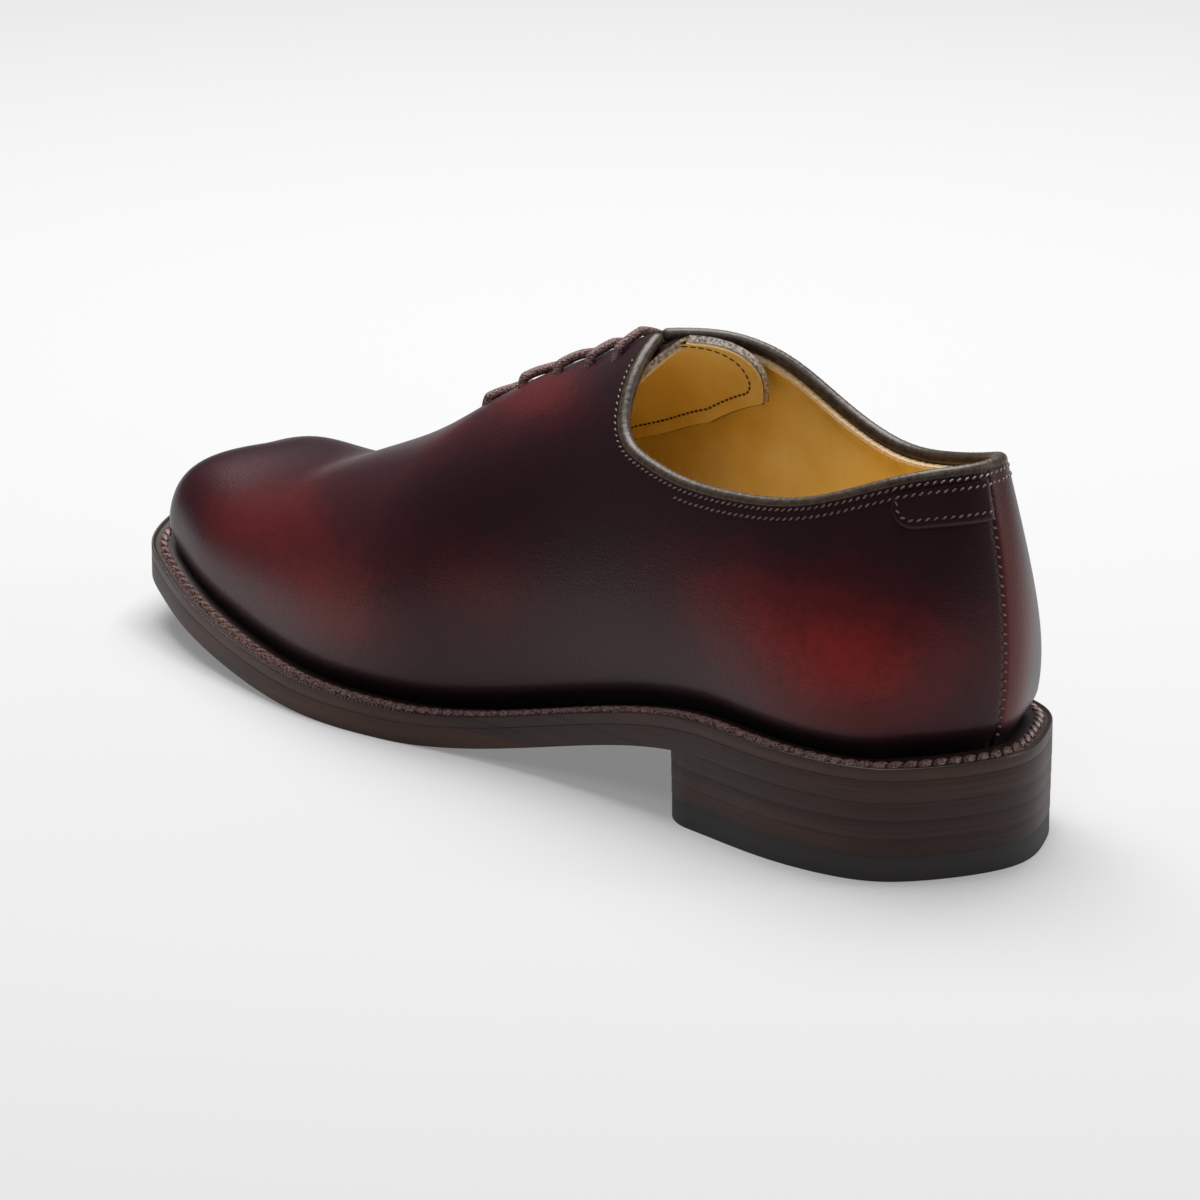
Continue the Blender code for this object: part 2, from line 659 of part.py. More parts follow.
def main():
    for obj in list(bpy.data.objects):
        bpy.data.objects.remove(obj, do_unlink=True)
    burgundy = material_of("burnished_calf", (0.045, 0.008, 0.010), 0.28, 0.4)
    trim = material_of("binding_leather", (0.030, 0.018, 0.016), 0.42)
    edge = material_of("stacked_leather", (0.035, 0.014, 0.010), 0.45)
    rubber = material_of("top_piece_rubber", (0.020, 0.016, 0.015), 0.65)
    welt = material_of("welt_leather", (0.050, 0.025, 0.018), 0.55)
    lining = material_of("lining_leather", (0.42, 0.24, 0.045), 0.55)
    lace = material_of("waxed_lace", (0.12, 0.06, 0.06), 0.6)
    add_sole_unit(edge, rubber, welt, lining)
    add_upper(burgundy)
    add_collar_binding(trim)
    add_heel_tab(burgundy)
    add_tongue(burgundy)
    add_lace_bars(lace)


main()
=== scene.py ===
"""Whole cut oxford in burnished calf, the left shoe of a pair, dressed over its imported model.

Metres. The shapes below measure Y from the sole's back end, u round the shoe (0 at the heel's back,
along the lateral side to the toe at TOE_ROW, and back along the medial side) and v up the wall.
Each finished mesh is then moved back, so that the origin is under the middle of the heel.
"""

import math

import bpy
import numpy as np
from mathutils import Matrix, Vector


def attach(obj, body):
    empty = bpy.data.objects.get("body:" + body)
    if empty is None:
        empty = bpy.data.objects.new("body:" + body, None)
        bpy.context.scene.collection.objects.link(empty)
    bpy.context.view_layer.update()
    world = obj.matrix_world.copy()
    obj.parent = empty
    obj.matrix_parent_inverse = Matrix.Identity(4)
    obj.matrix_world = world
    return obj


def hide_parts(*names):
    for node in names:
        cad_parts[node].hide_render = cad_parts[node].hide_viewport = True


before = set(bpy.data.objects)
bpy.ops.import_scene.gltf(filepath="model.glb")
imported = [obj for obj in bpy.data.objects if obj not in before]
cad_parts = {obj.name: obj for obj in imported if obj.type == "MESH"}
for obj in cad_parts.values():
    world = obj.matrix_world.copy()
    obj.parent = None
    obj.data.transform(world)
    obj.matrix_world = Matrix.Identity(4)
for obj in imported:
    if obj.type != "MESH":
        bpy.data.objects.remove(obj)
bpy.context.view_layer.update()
MM = 0.001


# --- The studio
# A plain pale floor under soft boxes: a wide one overhead and behind, a tall one on the heel's
# side, and a weak one by the camera. The camera looks from behind the lateral side.
def linear(code, alpha=1.0):
    """An sRGB hex colour as linear red, green, blue and alpha."""
    share = np.array([int(code[n:n + 2], 16) for n in (1, 3, 5)]) / 255
    value = np.where(share <= 0.04045, share / 12.92, ((share + 0.055) / 1.055) ** 2.4)
    return (*value.tolist(), alpha)


def add_node(tree, kind, inputs=None, stops=None, **settings):
    """Adds a node, sets its properties, links or sets each named or numbered input, and spreads
    the colours of a ramp's stops from the first to the last."""
    node = tree.nodes.new("ShaderNode" + kind)
    for name, value in settings.items():
        setattr(node, name, value)
    for name, value in (inputs or {}).items():
        if isinstance(value, bpy.types.NodeSocket):
            tree.links.new(value, node.inputs[name])
        else:
            node.inputs[name].default_value = value
    if stops:
        elements = node.color_ramp.elements
        elements[0].position, elements[1].position = stops[0][0], stops[-1][0]
        for position, _ in stops[1:-1]:
            elements.new(position)
        for element, (_, code) in zip(elements, stops):
            element.color = linear(code)
    return node


def new_finish(name, colour, roughness, **sockets):
    """A material with its plain socket values, and its tree and shader to build on."""
    finish = bpy.data.materials.new(name)
    finish.use_nodes = True
    finish.diffuse_color = linear(colour)
    shader = finish.node_tree.nodes["Principled BSDF"]
    shader.inputs["Base Color"].default_value = linear(colour)
    shader.inputs["Roughness"].default_value = roughness
    for name, value in sockets.items():
        shader.inputs[name.replace("_", " ")].default_value = value
    return finish, finish.node_tree, shader


def add_aimed(name, data, place, aim):
    """A camera or a lamp at a place, turned towards another."""
    thing = bpy.data.objects.new(name, data)
    bpy.context.collection.objects.link(thing)
    thing.location = place
    thing.rotation_euler = (Vector(aim) - Vector(place)).to_track_quat("-Z", "Y").to_euler()
    return thing


CAMERA_PLACE = (-1.0363, -1.0529, 0.4951)
CAMERA_TARGET = (0.0, 0.110, 0.040)
CAMERA_LENS = 197.28
CAMERA_SHIFT = (0.0206, -0.0296)
camera = add_aimed("camera", bpy.data.cameras.new("camera"), CAMERA_PLACE, CAMERA_TARGET)
camera.data.sensor_width = 36
camera.data.lens = CAMERA_LENS
camera.data.shift_x, camera.data.shift_y = CAMERA_SHIFT
bpy.context.scene.camera = camera
bpy.context.scene.view_settings.view_transform = "Standard"

FLOOR_RADIUS = 6.0
turns = np.linspace(0, 2 * math.pi, 96, endpoint=False)
floor_mesh = bpy.data.meshes.new("floor")
rim = np.column_stack([np.cos(turns), np.sin(turns), 0 * turns]) * FLOOR_RADIUS
floor_mesh.from_pydata(rim.tolist(), [], [list(range(len(turns)))])
floor = bpy.data.objects.new("floor", floor_mesh)
bpy.context.collection.objects.link(floor)
# Matt white card, lit a little from below as a light table is, so that shadows on it stay pale
CARD_GLOW = 0.22
card = new_finish("white_card", "#a6a6a6", 0.9, Specular_IOR_Level=0.0, Emission_Color=linear("#ffffff"),
                  Emission_Strength=CARD_GLOW)[0]
floor_mesh.materials.append(card)

# Name, place, aim, width and height, and watts of each box
LIGHTS = (
    ("top_box", (0.30, 0.45, 1.35), (0.0, 0.10, 0.03), (1.2, 1.2), 41),
    ("heel_box", (0.95, -0.75, 0.55), (0.0, 0.0, 0.05), (0.35, 0.9), 3),
    ("camera_box", (-1.1, -0.9, 1.7), (0.0, 0.10, 0.03), (0.8, 0.8), 9),
)
for box_name, place, aim, size, power in LIGHTS:
    lamp = bpy.data.lights.new(box_name, "AREA")
    lamp.shape = "RECTANGLE"
    lamp.size, lamp.size_y = size
    lamp.energy = power
    add_aimed(box_name, lamp, place, aim)
room = bpy.data.worlds.new("room")
bpy.context.scene.world = room
room.use_nodes = True
room.node_tree.nodes["Background"].inputs["Color"].default_value = linear("#4a4a4e")
room.node_tree.nodes["Background"].inputs["Strength"].default_value = 1.0


# --- Heel: top piece and lifts
# A rubber top piece under three lifts of veg-tanned leather, glued and nailed, then cut flush,
# scoured with glass paper, inked dark brown and burnished with hot wax.
SOLE_LENGTH = 303 * MM
BALL_WIDTH = 102 * MM
HEEL_WIDTH = 76 * MM
HEEL_LENGTH = 84 * MM
HEEL_CORNER_RADIUS = 16 * MM
HEEL_TAPER = 0.3 * MM
HEEL_HEIGHT = 19 * MM
TOP_PIECE_THICKNESS = 6 * MM
LIFT_COUNT = 3
TOE_SPRING = 17 * MM
SEAT_SPRING = 24 * MM
FLAT_START = 168 * MM
FLAT_LENGTH = 12 * MM
ORIGIN_FROM_BACK = 40 * MM
SOLE_COLUMNS = ("along", "ball", "lateral", "medial", "margin_lateral", "margin_medial")
SOLE_ROWS = (
    (-0.007, 0.00, 0.000, 0.000, 1.15, 1.15),
    (0.017, 0.00, 0.305, 0.245, 1.25, 1.08),
    (0.060, 0.00, 0.455, 0.418, 0.93, 0.88),
    (0.132, 0.00, 0.508, 0.470, 0.90, 0.90),
    (0.211, 0.00, 0.496, 0.440, 1.00, 1.00),
    (0.284, 0.10, 0.470, 0.385, 1.10, 1.10),
    (0.340, 0.25, 0.448, 0.345, 1.20, 1.15),
    (0.390, 0.40, 0.434, 0.332, 1.25, 1.15),
    (0.440, 0.60, 0.424, 0.338, 1.20, 1.10),
    (0.502, 0.80, 0.437, 0.369, 1.10, 1.05),
    (0.570, 1.00, 0.462, 0.416, 1.00, 1.00),
    (0.643, 1.00, 0.482, 0.482, 1.00, 1.00),
    (0.713, 1.00, 0.463, 0.512, 1.00, 1.00),
    (0.785, 1.00, 0.422, 0.504, 1.00, 1.00),
    (0.855, 1.00, 0.368, 0.466, 0.95, 1.00),
    (0.917, 1.00, 0.298, 0.402, 0.90, 1.00),
    (0.967, 1.00, 0.186, 0.308, 0.90, 1.00),
    (1.000, 1.00, -0.098, 0.098, 1.00, 1.00),
)
TOE_ROW = len(SOLE_ROWS) - 1


def column(rows, columns, name):
    return np.array([row[columns.index(name)] for row in rows], float)


def loop_values(rows, columns, lateral, medial, lateral_sign=1.0):
    """A value for each row round the shoe: heel, lateral rows, toe, then the medial rows back."""
    near = lateral_sign * column(rows, columns, lateral)
    return np.concatenate([near, column(rows, columns, medial)[-2:0:-1]])


def read_spline(values, bends, u):
    """A cubic between two knots from their values and second differences."""
    first = np.minimum(np.floor(u).astype(int), len(values) - 1)
    after = (first + 1) % len(values)
    t = u - first
    s = 1 - t
    straight = s * values[first] + t * values[after]
    return straight + ((s**3 - s) * bends[first] + (t**3 - t) * bends[after]) / 6


def ring_spline(values, u):
    """A closed cubic spline with one knot a row, read at u."""
    count = len(values)
    matrix = 4 * np.eye(count) + np.roll(np.eye(count), 1, 0) + np.roll(np.eye(count), -1, 0)
    bends = np.linalg.solve(matrix, 6 * (np.roll(values, 1) - 2 * values + np.roll(values, -1)))
    return read_spline(values, bends, np.mod(u, count))


def smoothstep(t):
    t = np.clip(t, 0, 1)
    return t * t * (3 - 2 * t)


def unit(vectors):
    return vectors / np.maximum(np.linalg.norm(vectors, axis=-1, keepdims=True), 1e-12)


def sole_under_side(y):
    """Height under the sole: level heel seat, falling waist, flat tread, toe spring by a square."""
    seat_end = HEEL_LENGTH - SEAT_SPRING
    waist = HEEL_HEIGHT * (1 - smoothstep((y - seat_end) / (FLAT_START - seat_end)))
    beyond = np.clip((y - FLAT_START - FLAT_LENGTH) / (SOLE_LENGTH - FLAT_START - FLAT_LENGTH), 0, None)
    return waist + TOE_SPRING * beyond**2


def sole_edge(u):
    """Points (x, y) of the sole's edge."""
    width = HEEL_WIDTH + column(SOLE_ROWS, SOLE_COLUMNS, "ball") * (BALL_WIDTH - HEEL_WIDTH)
    across = loop_values(SOLE_ROWS, SOLE_COLUMNS, "lateral", "medial", -1.0)
    across = across * np.concatenate([width, width[-2:0:-1]])
    along = loop_values(SOLE_ROWS, SOLE_COLUMNS, "along", "along") * SOLE_LENGTH
    return np.stack([ring_spline(across, u), ring_spline(along, u)], -1)


def edge_outward(u):
    """The level direction that points away from the shoe at the sole's edge."""
    ahead = sole_edge(u + 0.01) - sole_edge(u - 0.01)
    return unit(np.stack([-ahead[..., 1], ahead[..., 0]], -1))


def inset_edge(u, inset):
    return sole_edge(u) - edge_outward(u) * np.asarray(inset)[..., None]


def heel_outline(inset):
    """The sole's edge as far as the breast, where two quarter circles and a straight line close it.
    Point i lies across from point count - i."""
    rows = np.linspace(0, TOE_ROW, 800)
    corner_start = HEEL_LENGTH - inset - HEEL_CORNER_RADIUS
    last = np.interp(corner_start, sole_edge(rows)[:, 1], rows)
    side_rows = last * np.linspace(0, 1, 91)[1:]
    quarter = np.linspace(0, math.pi / 2, 15)[1:]
    halves = []
    for rows_here, sign in ((side_rows, -1), (2 * TOE_ROW - side_rows, 1)):
        side = inset_edge(rows_here, np.full(len(rows_here), inset))
        centre = side[-1] - np.array([sign * HEEL_CORNER_RADIUS, 0])
        corner = centre + HEEL_CORNER_RADIUS * np.column_stack([sign * np.cos(quarter), np.sin(quarter)])
        halves.append(np.concatenate([side, corner]))
    back = inset_edge(np.array([0.0]), np.array([inset]))
    front = (halves[0][-1:] + halves[1][-1:]) / 2
    return np.concatenate([back, halves[0], front, halves[1][::-1]])


def grid_faces(number, closed=False):
    """Quads between neighbouring rows of a grid of point numbers, each row closed on itself or not."""
    after = np.roll(number, -1, 1) if closed else number[:, 1:]
    here = number if closed else number[:, :-1]
    return np.stack([here[:-1], after[:-1], after[1:], here[1:]], -1).reshape(-1, 4)


def ladder(ring):
    """A cap over a ring whose point i lies across from point count - i: its quads and two triangles."""
    half = len(ring) // 2
    i = np.arange(1, half - 1)
    quads = np.stack([ring[i], ring[i + 1], ring[-i - 1], ring[-i]], -1)
    ends = np.array([[ring[0], ring[1], ring[-1]], [ring[half - 1], ring[half], ring[half + 1]]])
    return quads, ends


def add_piece(name, points, faces, finishes, slot, *nodes, sharp=40, marks=None, worn_by=None):
    """A mesh from whole arrays: faces is a list of arrays, each of polygons with as many corners. A
    closed shape whose signed volume is negative has all its faces turned round. worn_by numbers the
    finish of each of those arrays."""
    points = np.asarray(points, float)
    volume = 0.0
    for part in faces:
        for k in range(1, part.shape[1] - 1):
            a, b, c = (points[part[:, n]] for n in (0, k, k + 1))
            volume += np.einsum("ij,ij->", a, np.cross(b, c))
    if volume < 0:
        faces = [part[:, ::-1] for part in faces]
    mesh = bpy.data.meshes.new(name)
    placed = points - np.array([0, ORIGIN_FROM_BACK, 0])
    mesh.from_pydata(placed.tolist(), [], [face for part in faces for face in part.tolist()])
    mesh.shade_smooth()
    mesh.set_sharp_from_angle(angle=math.radians(sharp))
    for finish in finishes:
        mesh.materials.append(finish)
    if worn_by:
        numbers = np.repeat(worn_by, [len(part) for part in faces])
        mesh.polygons.foreach_set("material_index", numbers.astype(np.int32))
    for mark, values in (marks or {}).items():
        mesh.attributes.new(mark, "FLOAT", "POINT").data.foreach_set("value", np.asarray(values, np.float32))
    piece = bpy.data.objects.new(name, mesh)
    bpy.context.collection.objects.link(piece)
    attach(piece, "root")
    if nodes:
        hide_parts(*nodes)
    return piece


def layer_rings(edge_at, height_at, low, high, soften):
    """Rings up the side of a flat layer, with a quarter round of radius soften at both edges."""
    turn = np.linspace(0, math.pi / 2, 4)
    inset = soften * np.concatenate([1 - np.sin(turn), 1 - np.cos(turn)])
    lift = np.concatenate([low + soften * (1 - np.cos(turn)), high - soften * (1 - np.sin(turn))])
    rings = []
    for this_inset, this_lift in zip(inset, lift):
        edge = edge_at(this_inset)
        rings.append(np.column_stack([edge, height_at(edge[:, 1], this_lift)]))
    return np.array(rings)


def add_layer(name, rings, finish, slot, node):
    number = np.arange(rings.shape[0] * rings.shape[1]).reshape(rings.shape[:2])
    bottom, bottom_ends = ladder(number[0])
    top, top_ends = ladder(number[-1])
    faces = [grid_faces(number, closed=True), bottom[:, ::-1], top, bottom_ends[:, ::-1], top_ends]
    return add_piece(name, rings.reshape(-1, 3), faces, [finish], slot, node)


# Inked and waxed leather edge: dark brown, with the layers' fine level lines and worn, warmer
# streaks where the glass paper cut through the ink. It gives a dull satin shine.
FIBRE_HEIGHT = 0.7 * MM
STREAKS_A_METRE = 9
WORN_BANDS_A_METRE = 90
edge_leather, tree, shader = new_finish(
    "inked_leather_edge", "#2b1c18", 0.52, Specular_IOR_Level=0.3, Coat_Weight=0.06, Coat_Roughness=0.3)
place = add_node(tree, "TexCoord")
streak = add_node(tree, "Mapping", {"Vector": place.outputs["Object"],
                                    "Scale": (STREAKS_A_METRE, STREAKS_A_METRE, 1 / FIBRE_HEIGHT)})
lines = add_node(tree, "TexNoise", {"Vector": streak.outputs["Vector"], "Scale": 1.0, "Detail": 5.0})
wide = add_node(tree, "Mapping", {"Vector": place.outputs["Object"],
                                  "Scale": (STREAKS_A_METRE, STREAKS_A_METRE, WORN_BANDS_A_METRE)})
worn = add_node(tree, "TexNoise", {"Vector": wide.outputs["Vector"], "Scale": 1.0, "Detail": 4.0, "Roughness": 0.6})
ink = add_node(tree, "ValToRGB", {"Fac": lines.outputs["Fac"]}, stops=((0.15, "#1a100e"), (0.85, "#3c2620")))
warm = add_node(tree, "MapRange", {"Value": worn.outputs["Fac"], "From Min": 0.46, "From Max": 0.78, "To Max": 0.6})
tinted = add_node(tree, "Mix", {"Factor": warm.outputs["Result"], "A": ink.outputs["Color"],
                                "B": linear("#5c341d")}, data_type="RGBA")
tree.links.new(tinted.outputs["Result"], shader.inputs["Base Color"])
relief = add_node(tree, "Bump", {"Height": lines.outputs["Fac"], "Distance": 0.12 * MM, "Strength": 0.6})
tree.links.new(relief.outputs["Normal"], shader.inputs["Normal"])

# Moulded black-brown rubber: matt, with a faint pebble from the buffing wheel
heel_rubber, tree, shader = new_finish("buffed_heel_rubber", "#241f1e", 0.62)
place = add_node(tree, "TexCoord")
pebble = add_node(tree, "TexNoise", {"Vector": place.outputs["Object"], "Scale": 1500.0, "Detail": 2.0})
relief = add_node(tree, "Bump", {"Height": pebble.outputs["Fac"], "Distance": 0.1 * MM, "Strength": 0.5})
tree.links.new(relief.outputs["Normal"], shader.inputs["Normal"])

LAYER_SOFTEN = 0.06 * MM
LAYER_SEAM = 0.01 * MM
GAP = 0.3 * MM


def heel_height(y, lift):
    return np.minimum(lift, sole_under_side(y) - LAYER_SEAM)


lift_thickness = (HEEL_HEIGHT - TOP_PIECE_THICKNESS) / LIFT_COUNT
heel_layers = [("heel_top_piece", 0.0, TOP_PIECE_THICKNESS, heel_rubber, "heel_rubber")]
heel_layers += [(f"heel_lift_{n + 1}", TOP_PIECE_THICKNESS + n * lift_thickness,
                 TOP_PIECE_THICKNESS + (n + 1) * lift_thickness, edge_leather, "sole_leather")
                for n in range(LIFT_COUNT)]
for layer_name, low, high, finish, slot in heel_layers:
    rings = layer_rings(
        lambda inset, at=low: heel_outline(inset + HEEL_TAPER * (1 - at / HEEL_HEIGHT)),
        heel_height, low, high - LAYER_SEAM, LAYER_SOFTEN)
    add_layer(layer_name + "_dressed", rings, finish, slot, layer_name)


# --- Outsole
# One 5 mm cut of oak-bark leather from toe to heel seat. Its edge is trimmed flush with the welt's,
# inked and burnished as the heel is, and its under side is plain.
OUTSOLE_THICKNESS = 5 * MM
EDGE_COLUMNS_PER_ROW = 24
edge_u = np.arange(2 * TOE_ROW * EDGE_COLUMNS_PER_ROW) / EDGE_COLUMNS_PER_ROW


def sole_height(y, lift):
    return sole_under_side(y) + lift


rings = layer_rings(lambda inset: inset_edge(edge_u, np.full(len(edge_u), inset)),
                    sole_height, 0.0, OUTSOLE_THICKNESS + GAP - LAYER_SEAM, LAYER_SOFTEN)
add_layer("outsole_dressed", rings, edge_leather, "sole_leather", "outsole")


# --- Welt
# A strip of shoulder leather sewn round the whole upper, heel included. Its outer edge is bevelled to
# a fine rib, which a hot fudge wheel has marked with even notches from the waist round the toe.
WELT_THICKNESS = 3.2 * MM
WELT_INNER_HEIGHT = 3.1 * MM
WELT_MARGIN = 5.5 * MM
WALL = 2.0 * MM
NOTCH_PITCH = 1.3 * MM
NOTCH_DEPTH = 0.6 * MM
NOTCH_COLUMNS = 4
NOTCH_LAST_ROW = 5.2


def welt_seat(y):
    """Height of the outsole's upper side, on which the welt lies."""
    return sole_under_side(y) + OUTSOLE_THICKNESS + GAP


def welt_margin(u):
    return WELT_MARGIN * ring_spline(loop_values(SOLE_ROWS, SOLE_COLUMNS, "margin_lateral", "margin_medial"), u)


def run_along(points):
    """The length of a line up to each of its points."""
    return np.concatenate([[0], np.cumsum(np.linalg.norm(np.diff(points, axis=0), axis=1))])


def by_arc_length(points, pitch, closed=True):
    """Each point's share of the line's length, and shares at the even pitch nearest the one asked."""
    run = run_along(np.concatenate([points, points[:1]]) if closed else points)
    count = max(1, round(run[-1] / pitch))
    return run / run[-1], (np.arange(count) + 0.5) / count


dense_u = np.linspace(0, 2 * TOE_ROW, 4000, endpoint=False)
share, notches = by_arc_length(sole_edge(dense_u), NOTCH_PITCH / NOTCH_COLUMNS)
notch_count = int(round(len(notches) / NOTCH_COLUMNS))
places = np.arange(notch_count * NOTCH_COLUMNS) / (notch_count * NOTCH_COLUMNS)
welt_u = np.interp(places, share, np.append(dense_u, 2 * TOE_ROW))
phase = np.arange(len(welt_u)) % NOTCH_COLUMNS
marked = smoothstep((np.minimum(welt_u, 2 * TOE_ROW - welt_u) - NOTCH_LAST_ROW) / 0.4)
notch = NOTCH_DEPTH * (phase == 0) * marked
margin = welt_margin(welt_u)
# The profile's steps, from the outer edge's foot to the inseam: inset from the edge and height over
# the outsole in mm, and the share of its depth by which a notch pulls the step down. The first
# three are the strip's side, inked as the sole's edge is.
WELT_SIDE_RINGS = 3
WELT_PROFILE = (
    (0.10, 0.00, 0.0), (0.00, 0.10, 0.0), (0.00, 2.66, 0.0), (0.05, 2.86, 0.6), (0.18, 3.04, 1.0),
    (0.36, 3.10, 1.0), (0.54, 3.02, 0.9), (0.70, 2.78, 0.4), (0.86, 2.50, 0.0), (1.20, 2.40, 0.0),
    (3.30, 2.40, 0.0), (4.00, 3.02, 0.0),
)
welt_rings = []
for inset, height, pull in WELT_PROFILE:
    line = inset_edge(welt_u, np.full(len(welt_u), inset * MM))
    level = welt_seat(line[:, 1]) + height * MM
    welt_rings.append(np.column_stack([line, level - notch * pull]))
inner_line = inset_edge(welt_u, margin + WALL + GAP)
for height in (WELT_INNER_HEIGHT, 0.0):
    welt_rings.append(np.column_stack([inner_line, welt_seat(inner_line[:, 1]) + height]))
welt_rings = np.array(welt_rings)
number = np.arange(welt_rings.shape[0] * welt_rings.shape[1]).reshape(welt_rings.shape[:2])
welt_loop = np.concatenate([number, number[:1]])
welt_faces = [grid_faces(welt_loop[:WELT_SIDE_RINGS], closed=True),
              grid_faces(welt_loop[WELT_SIDE_RINGS - 1:], closed=True)]


def mottled_finish(name, colour, roughness, scale, detail, stops, relief=None, **sockets):
    """A finish coloured over the stops by a noise, which embosses it too where relief gives the
    depth in metres and the strength."""
    finish, tree, shader = new_finish(name, colour, roughness, **sockets)
    place = add_node(tree, "TexCoord")
    noise = add_node(tree, "TexNoise", {"Vector": place.outputs["Object"], "Scale": scale, "Detail": detail})
    tone = add_node(tree, "ValToRGB", {"Fac": noise.outputs["Fac"]}, stops=stops)
    tree.links.new(tone.outputs["Color"], shader.inputs["Base Color"])
    if relief:
        bump = add_node(tree, "Bump", {"Height": noise.outputs["Fac"], "Distance": relief[0], "Strength": relief[1]})
        tree.links.new(bump.outputs["Normal"], shader.inputs["Normal"])
    return finish


# Inked welt leather: the same brown-black as the edge, with a polished rib
welt_leather = mottled_finish(
    "inked_welt_leather", "#2c1f1c", 0.40, 900.0, 4.0, ((0.0, "#1a110f"), (1.0, "#3d2a24")), (0.1 * MM, 0.5),
    Specular_IOR_Level=0.4, Coat_Weight=0.3, Coat_Roughness=0.2)
add_piece("welt_dressed", welt_rings.reshape(-1, 3), welt_faces, [edge_leather, welt_leather], "welt_leather",
          "welt", sharp=60, worn_by=[0, 1])

# The sole stitching: plump waxed linen, eight to the inch, each stitch laid a little askew like the
# strands of a rope
WELT_STITCH_PITCH = 3.6 * MM
WELT_STITCH_SHARE = 0.62
WELT_STITCH_HEIGHT = 2.5 * MM
WELT_STITCH = (4.9 * MM, 2.2 * MM, 1.2 * MM)
# Place along a stitch and thickness of each of its rings, as shares of its half length and width
STITCH_RINGS = ((-0.72, 0.72), (-0.30, 1.0), (0.30, 1.0), (0.72, 0.72))
STITCH_SIDES = 6


def pole_caps(number, first, last):
    """Triangles from a pole to the first row of a grid of point numbers, and from its last row to
    another."""
    return np.concatenate([
        np.stack([np.full_like(number[0], first), np.roll(number[0], -1), number[0]], -1),
        np.stack([np.full_like(number[0], last), number[-1], np.roll(number[-1], -1)], -1)])


def stitch_shapes(centre, ahead, normal, size, askew):
    """A small capsule at each centre: four rings and two poles, stretched along ahead by half its
    length, across by half its width and along the normal by its rise, and turned askew about it."""
    length, width, rise = size
    ahead = unit(ahead - normal * np.sum(ahead * normal, -1, keepdims=True))
    side = np.cross(normal, ahead)
    turned = math.cos(askew) * ahead + math.sin(askew) * side
    side = np.cross(normal, turned)
    angle = np.arange(STITCH_SIDES) * 2 * math.pi / STITCH_SIDES
    ring = [np.column_stack([np.full(STITCH_SIDES, place), thick * np.cos(angle), thick * np.sin(angle)])
            for place, thick in STITCH_RINGS]
    shape = np.concatenate([[[-1, 0, 0]], *ring, [[1, 0, 0]]]) * np.array([length / 2, width / 2, rise])
    axes = np.stack([turned, side, normal], 1)
    points = centre[:, None] + np.einsum("pk,skc->spc", shape, axes)
    number = np.arange(1, 1 + len(STITCH_RINGS) * STITCH_SIDES).reshape(-1, STITCH_SIDES)
    quads, caps = grid_faces(number, closed=True), pole_caps(number, 0, len(shape) - 1)
    shift = (np.arange(len(centre)) * len(shape))[:, None, None]
    return points.reshape(-1, 3), [(quads[None] + shift).reshape(-1, 4), (caps[None] + shift).reshape(-1, 3)]


def join_shapes(shapes):
    """Several point arrays with their face lists as one."""
    points, quads, triangles, start = [], [], [], 0
    for shape_points, (four, three) in shapes:
        points.append(shape_points)
        quads.append(four + start)
        triangles.append(three + start)
        start += len(shape_points)
    return np.concatenate(points), [np.concatenate(quads), np.concatenate(triangles)]


def sewn_row(line, normals, pitch, size, askew=0.0, closed=False):
    """Stitches at an even pitch along a line: size is the length, width and rise of each."""
    share, places = by_arc_length(line, pitch, closed)
    if closed:
        line, normals = np.concatenate([line, line[:1]]), np.concatenate([normals, normals[:1]])
    centre, ahead, normal = (
        np.stack([np.interp(places, share, values[:, k]) for k in range(3)], -1)
        for values in (line, np.gradient(line, axis=0), normals))
    return stitch_shapes(centre, unit(ahead), unit(normal), size, askew)


# Waxed linen thread, twisted: mauve brown where light catches the strands, dark between them
TWIST_PITCH = 0.5 * MM
waxed_thread = mottled_finish(
    "waxed_linen_thread", "#8d6c68", 0.5, 0.9 / TWIST_PITCH, 2.0, ((0.36, "#2a1614"), (0.62, "#96736c")),
    (0.2 * MM, 0.8), Coat_Weight=0.2, Coat_Roughness=0.3)
line = inset_edge(dense_u, WELT_STITCH_SHARE * welt_margin(dense_u))
line = np.column_stack([line, welt_seat(line[:, 1]) + WELT_STITCH_HEIGHT])
upwards = np.tile([0.0, 0.0, 1.0], (len(line), 1))
points, faces = sewn_row(line, upwards, WELT_STITCH_PITCH, WELT_STITCH, askew=0.42, closed=True)
add_piece("welt_stitching", points, faces, [waxed_thread], "welt_leather")


# --- Upper
# One piece of calf lasted over the whole shoe, closed by a single back seam, dyed by hand and
# burnished: near-black aubergine that opens to deep red, under a thin glazed finish.
INSTEP_HEIGHT = 83 * MM
COLLAR_HEIGHT = 64.6 * MM
SLIT_GAP = 2.4 * MM
SLIT_END_GAP = 1.1 * MM
TOP_COLUMNS = ("along", "across_lateral", "across_medial", "height")
TOP_ROWS = (
    (0.044, 0.000, 0.000, 0.966),
    (0.051, -0.082, 0.086, 0.966),
    (0.086, -0.150, 0.156, 0.960),
    (0.142, -0.183, 0.193, 0.966),
    (0.201, -0.176, 0.200, 0.978),
    (0.263, -0.137, 0.178, 1.016),
    (0.317, -0.076, 0.132, 1.052),
    (0.365, -0.006, 0.075, 1.076),
    (0.411, 0.035, 0.035, 1.064),
    (0.468, 0.041, 0.041, 1.012),
    (0.540, 0.044, 0.044, 0.926),
    (0.617, 0.047, 0.047, 0.762),
    (0.683, 0.051, 0.051, 0.628),
    (0.749, 0.056, 0.056, 0.508),
    (0.812, 0.063, 0.063, 0.396),
    (0.868, 0.072, 0.072, 0.350),
    (0.914, 0.080, 0.080, 0.300),
    (0.950, 0.088, 0.088, 0.222),
)
SLIT_START_ROW = 8
SLIT_END_ROW = 11
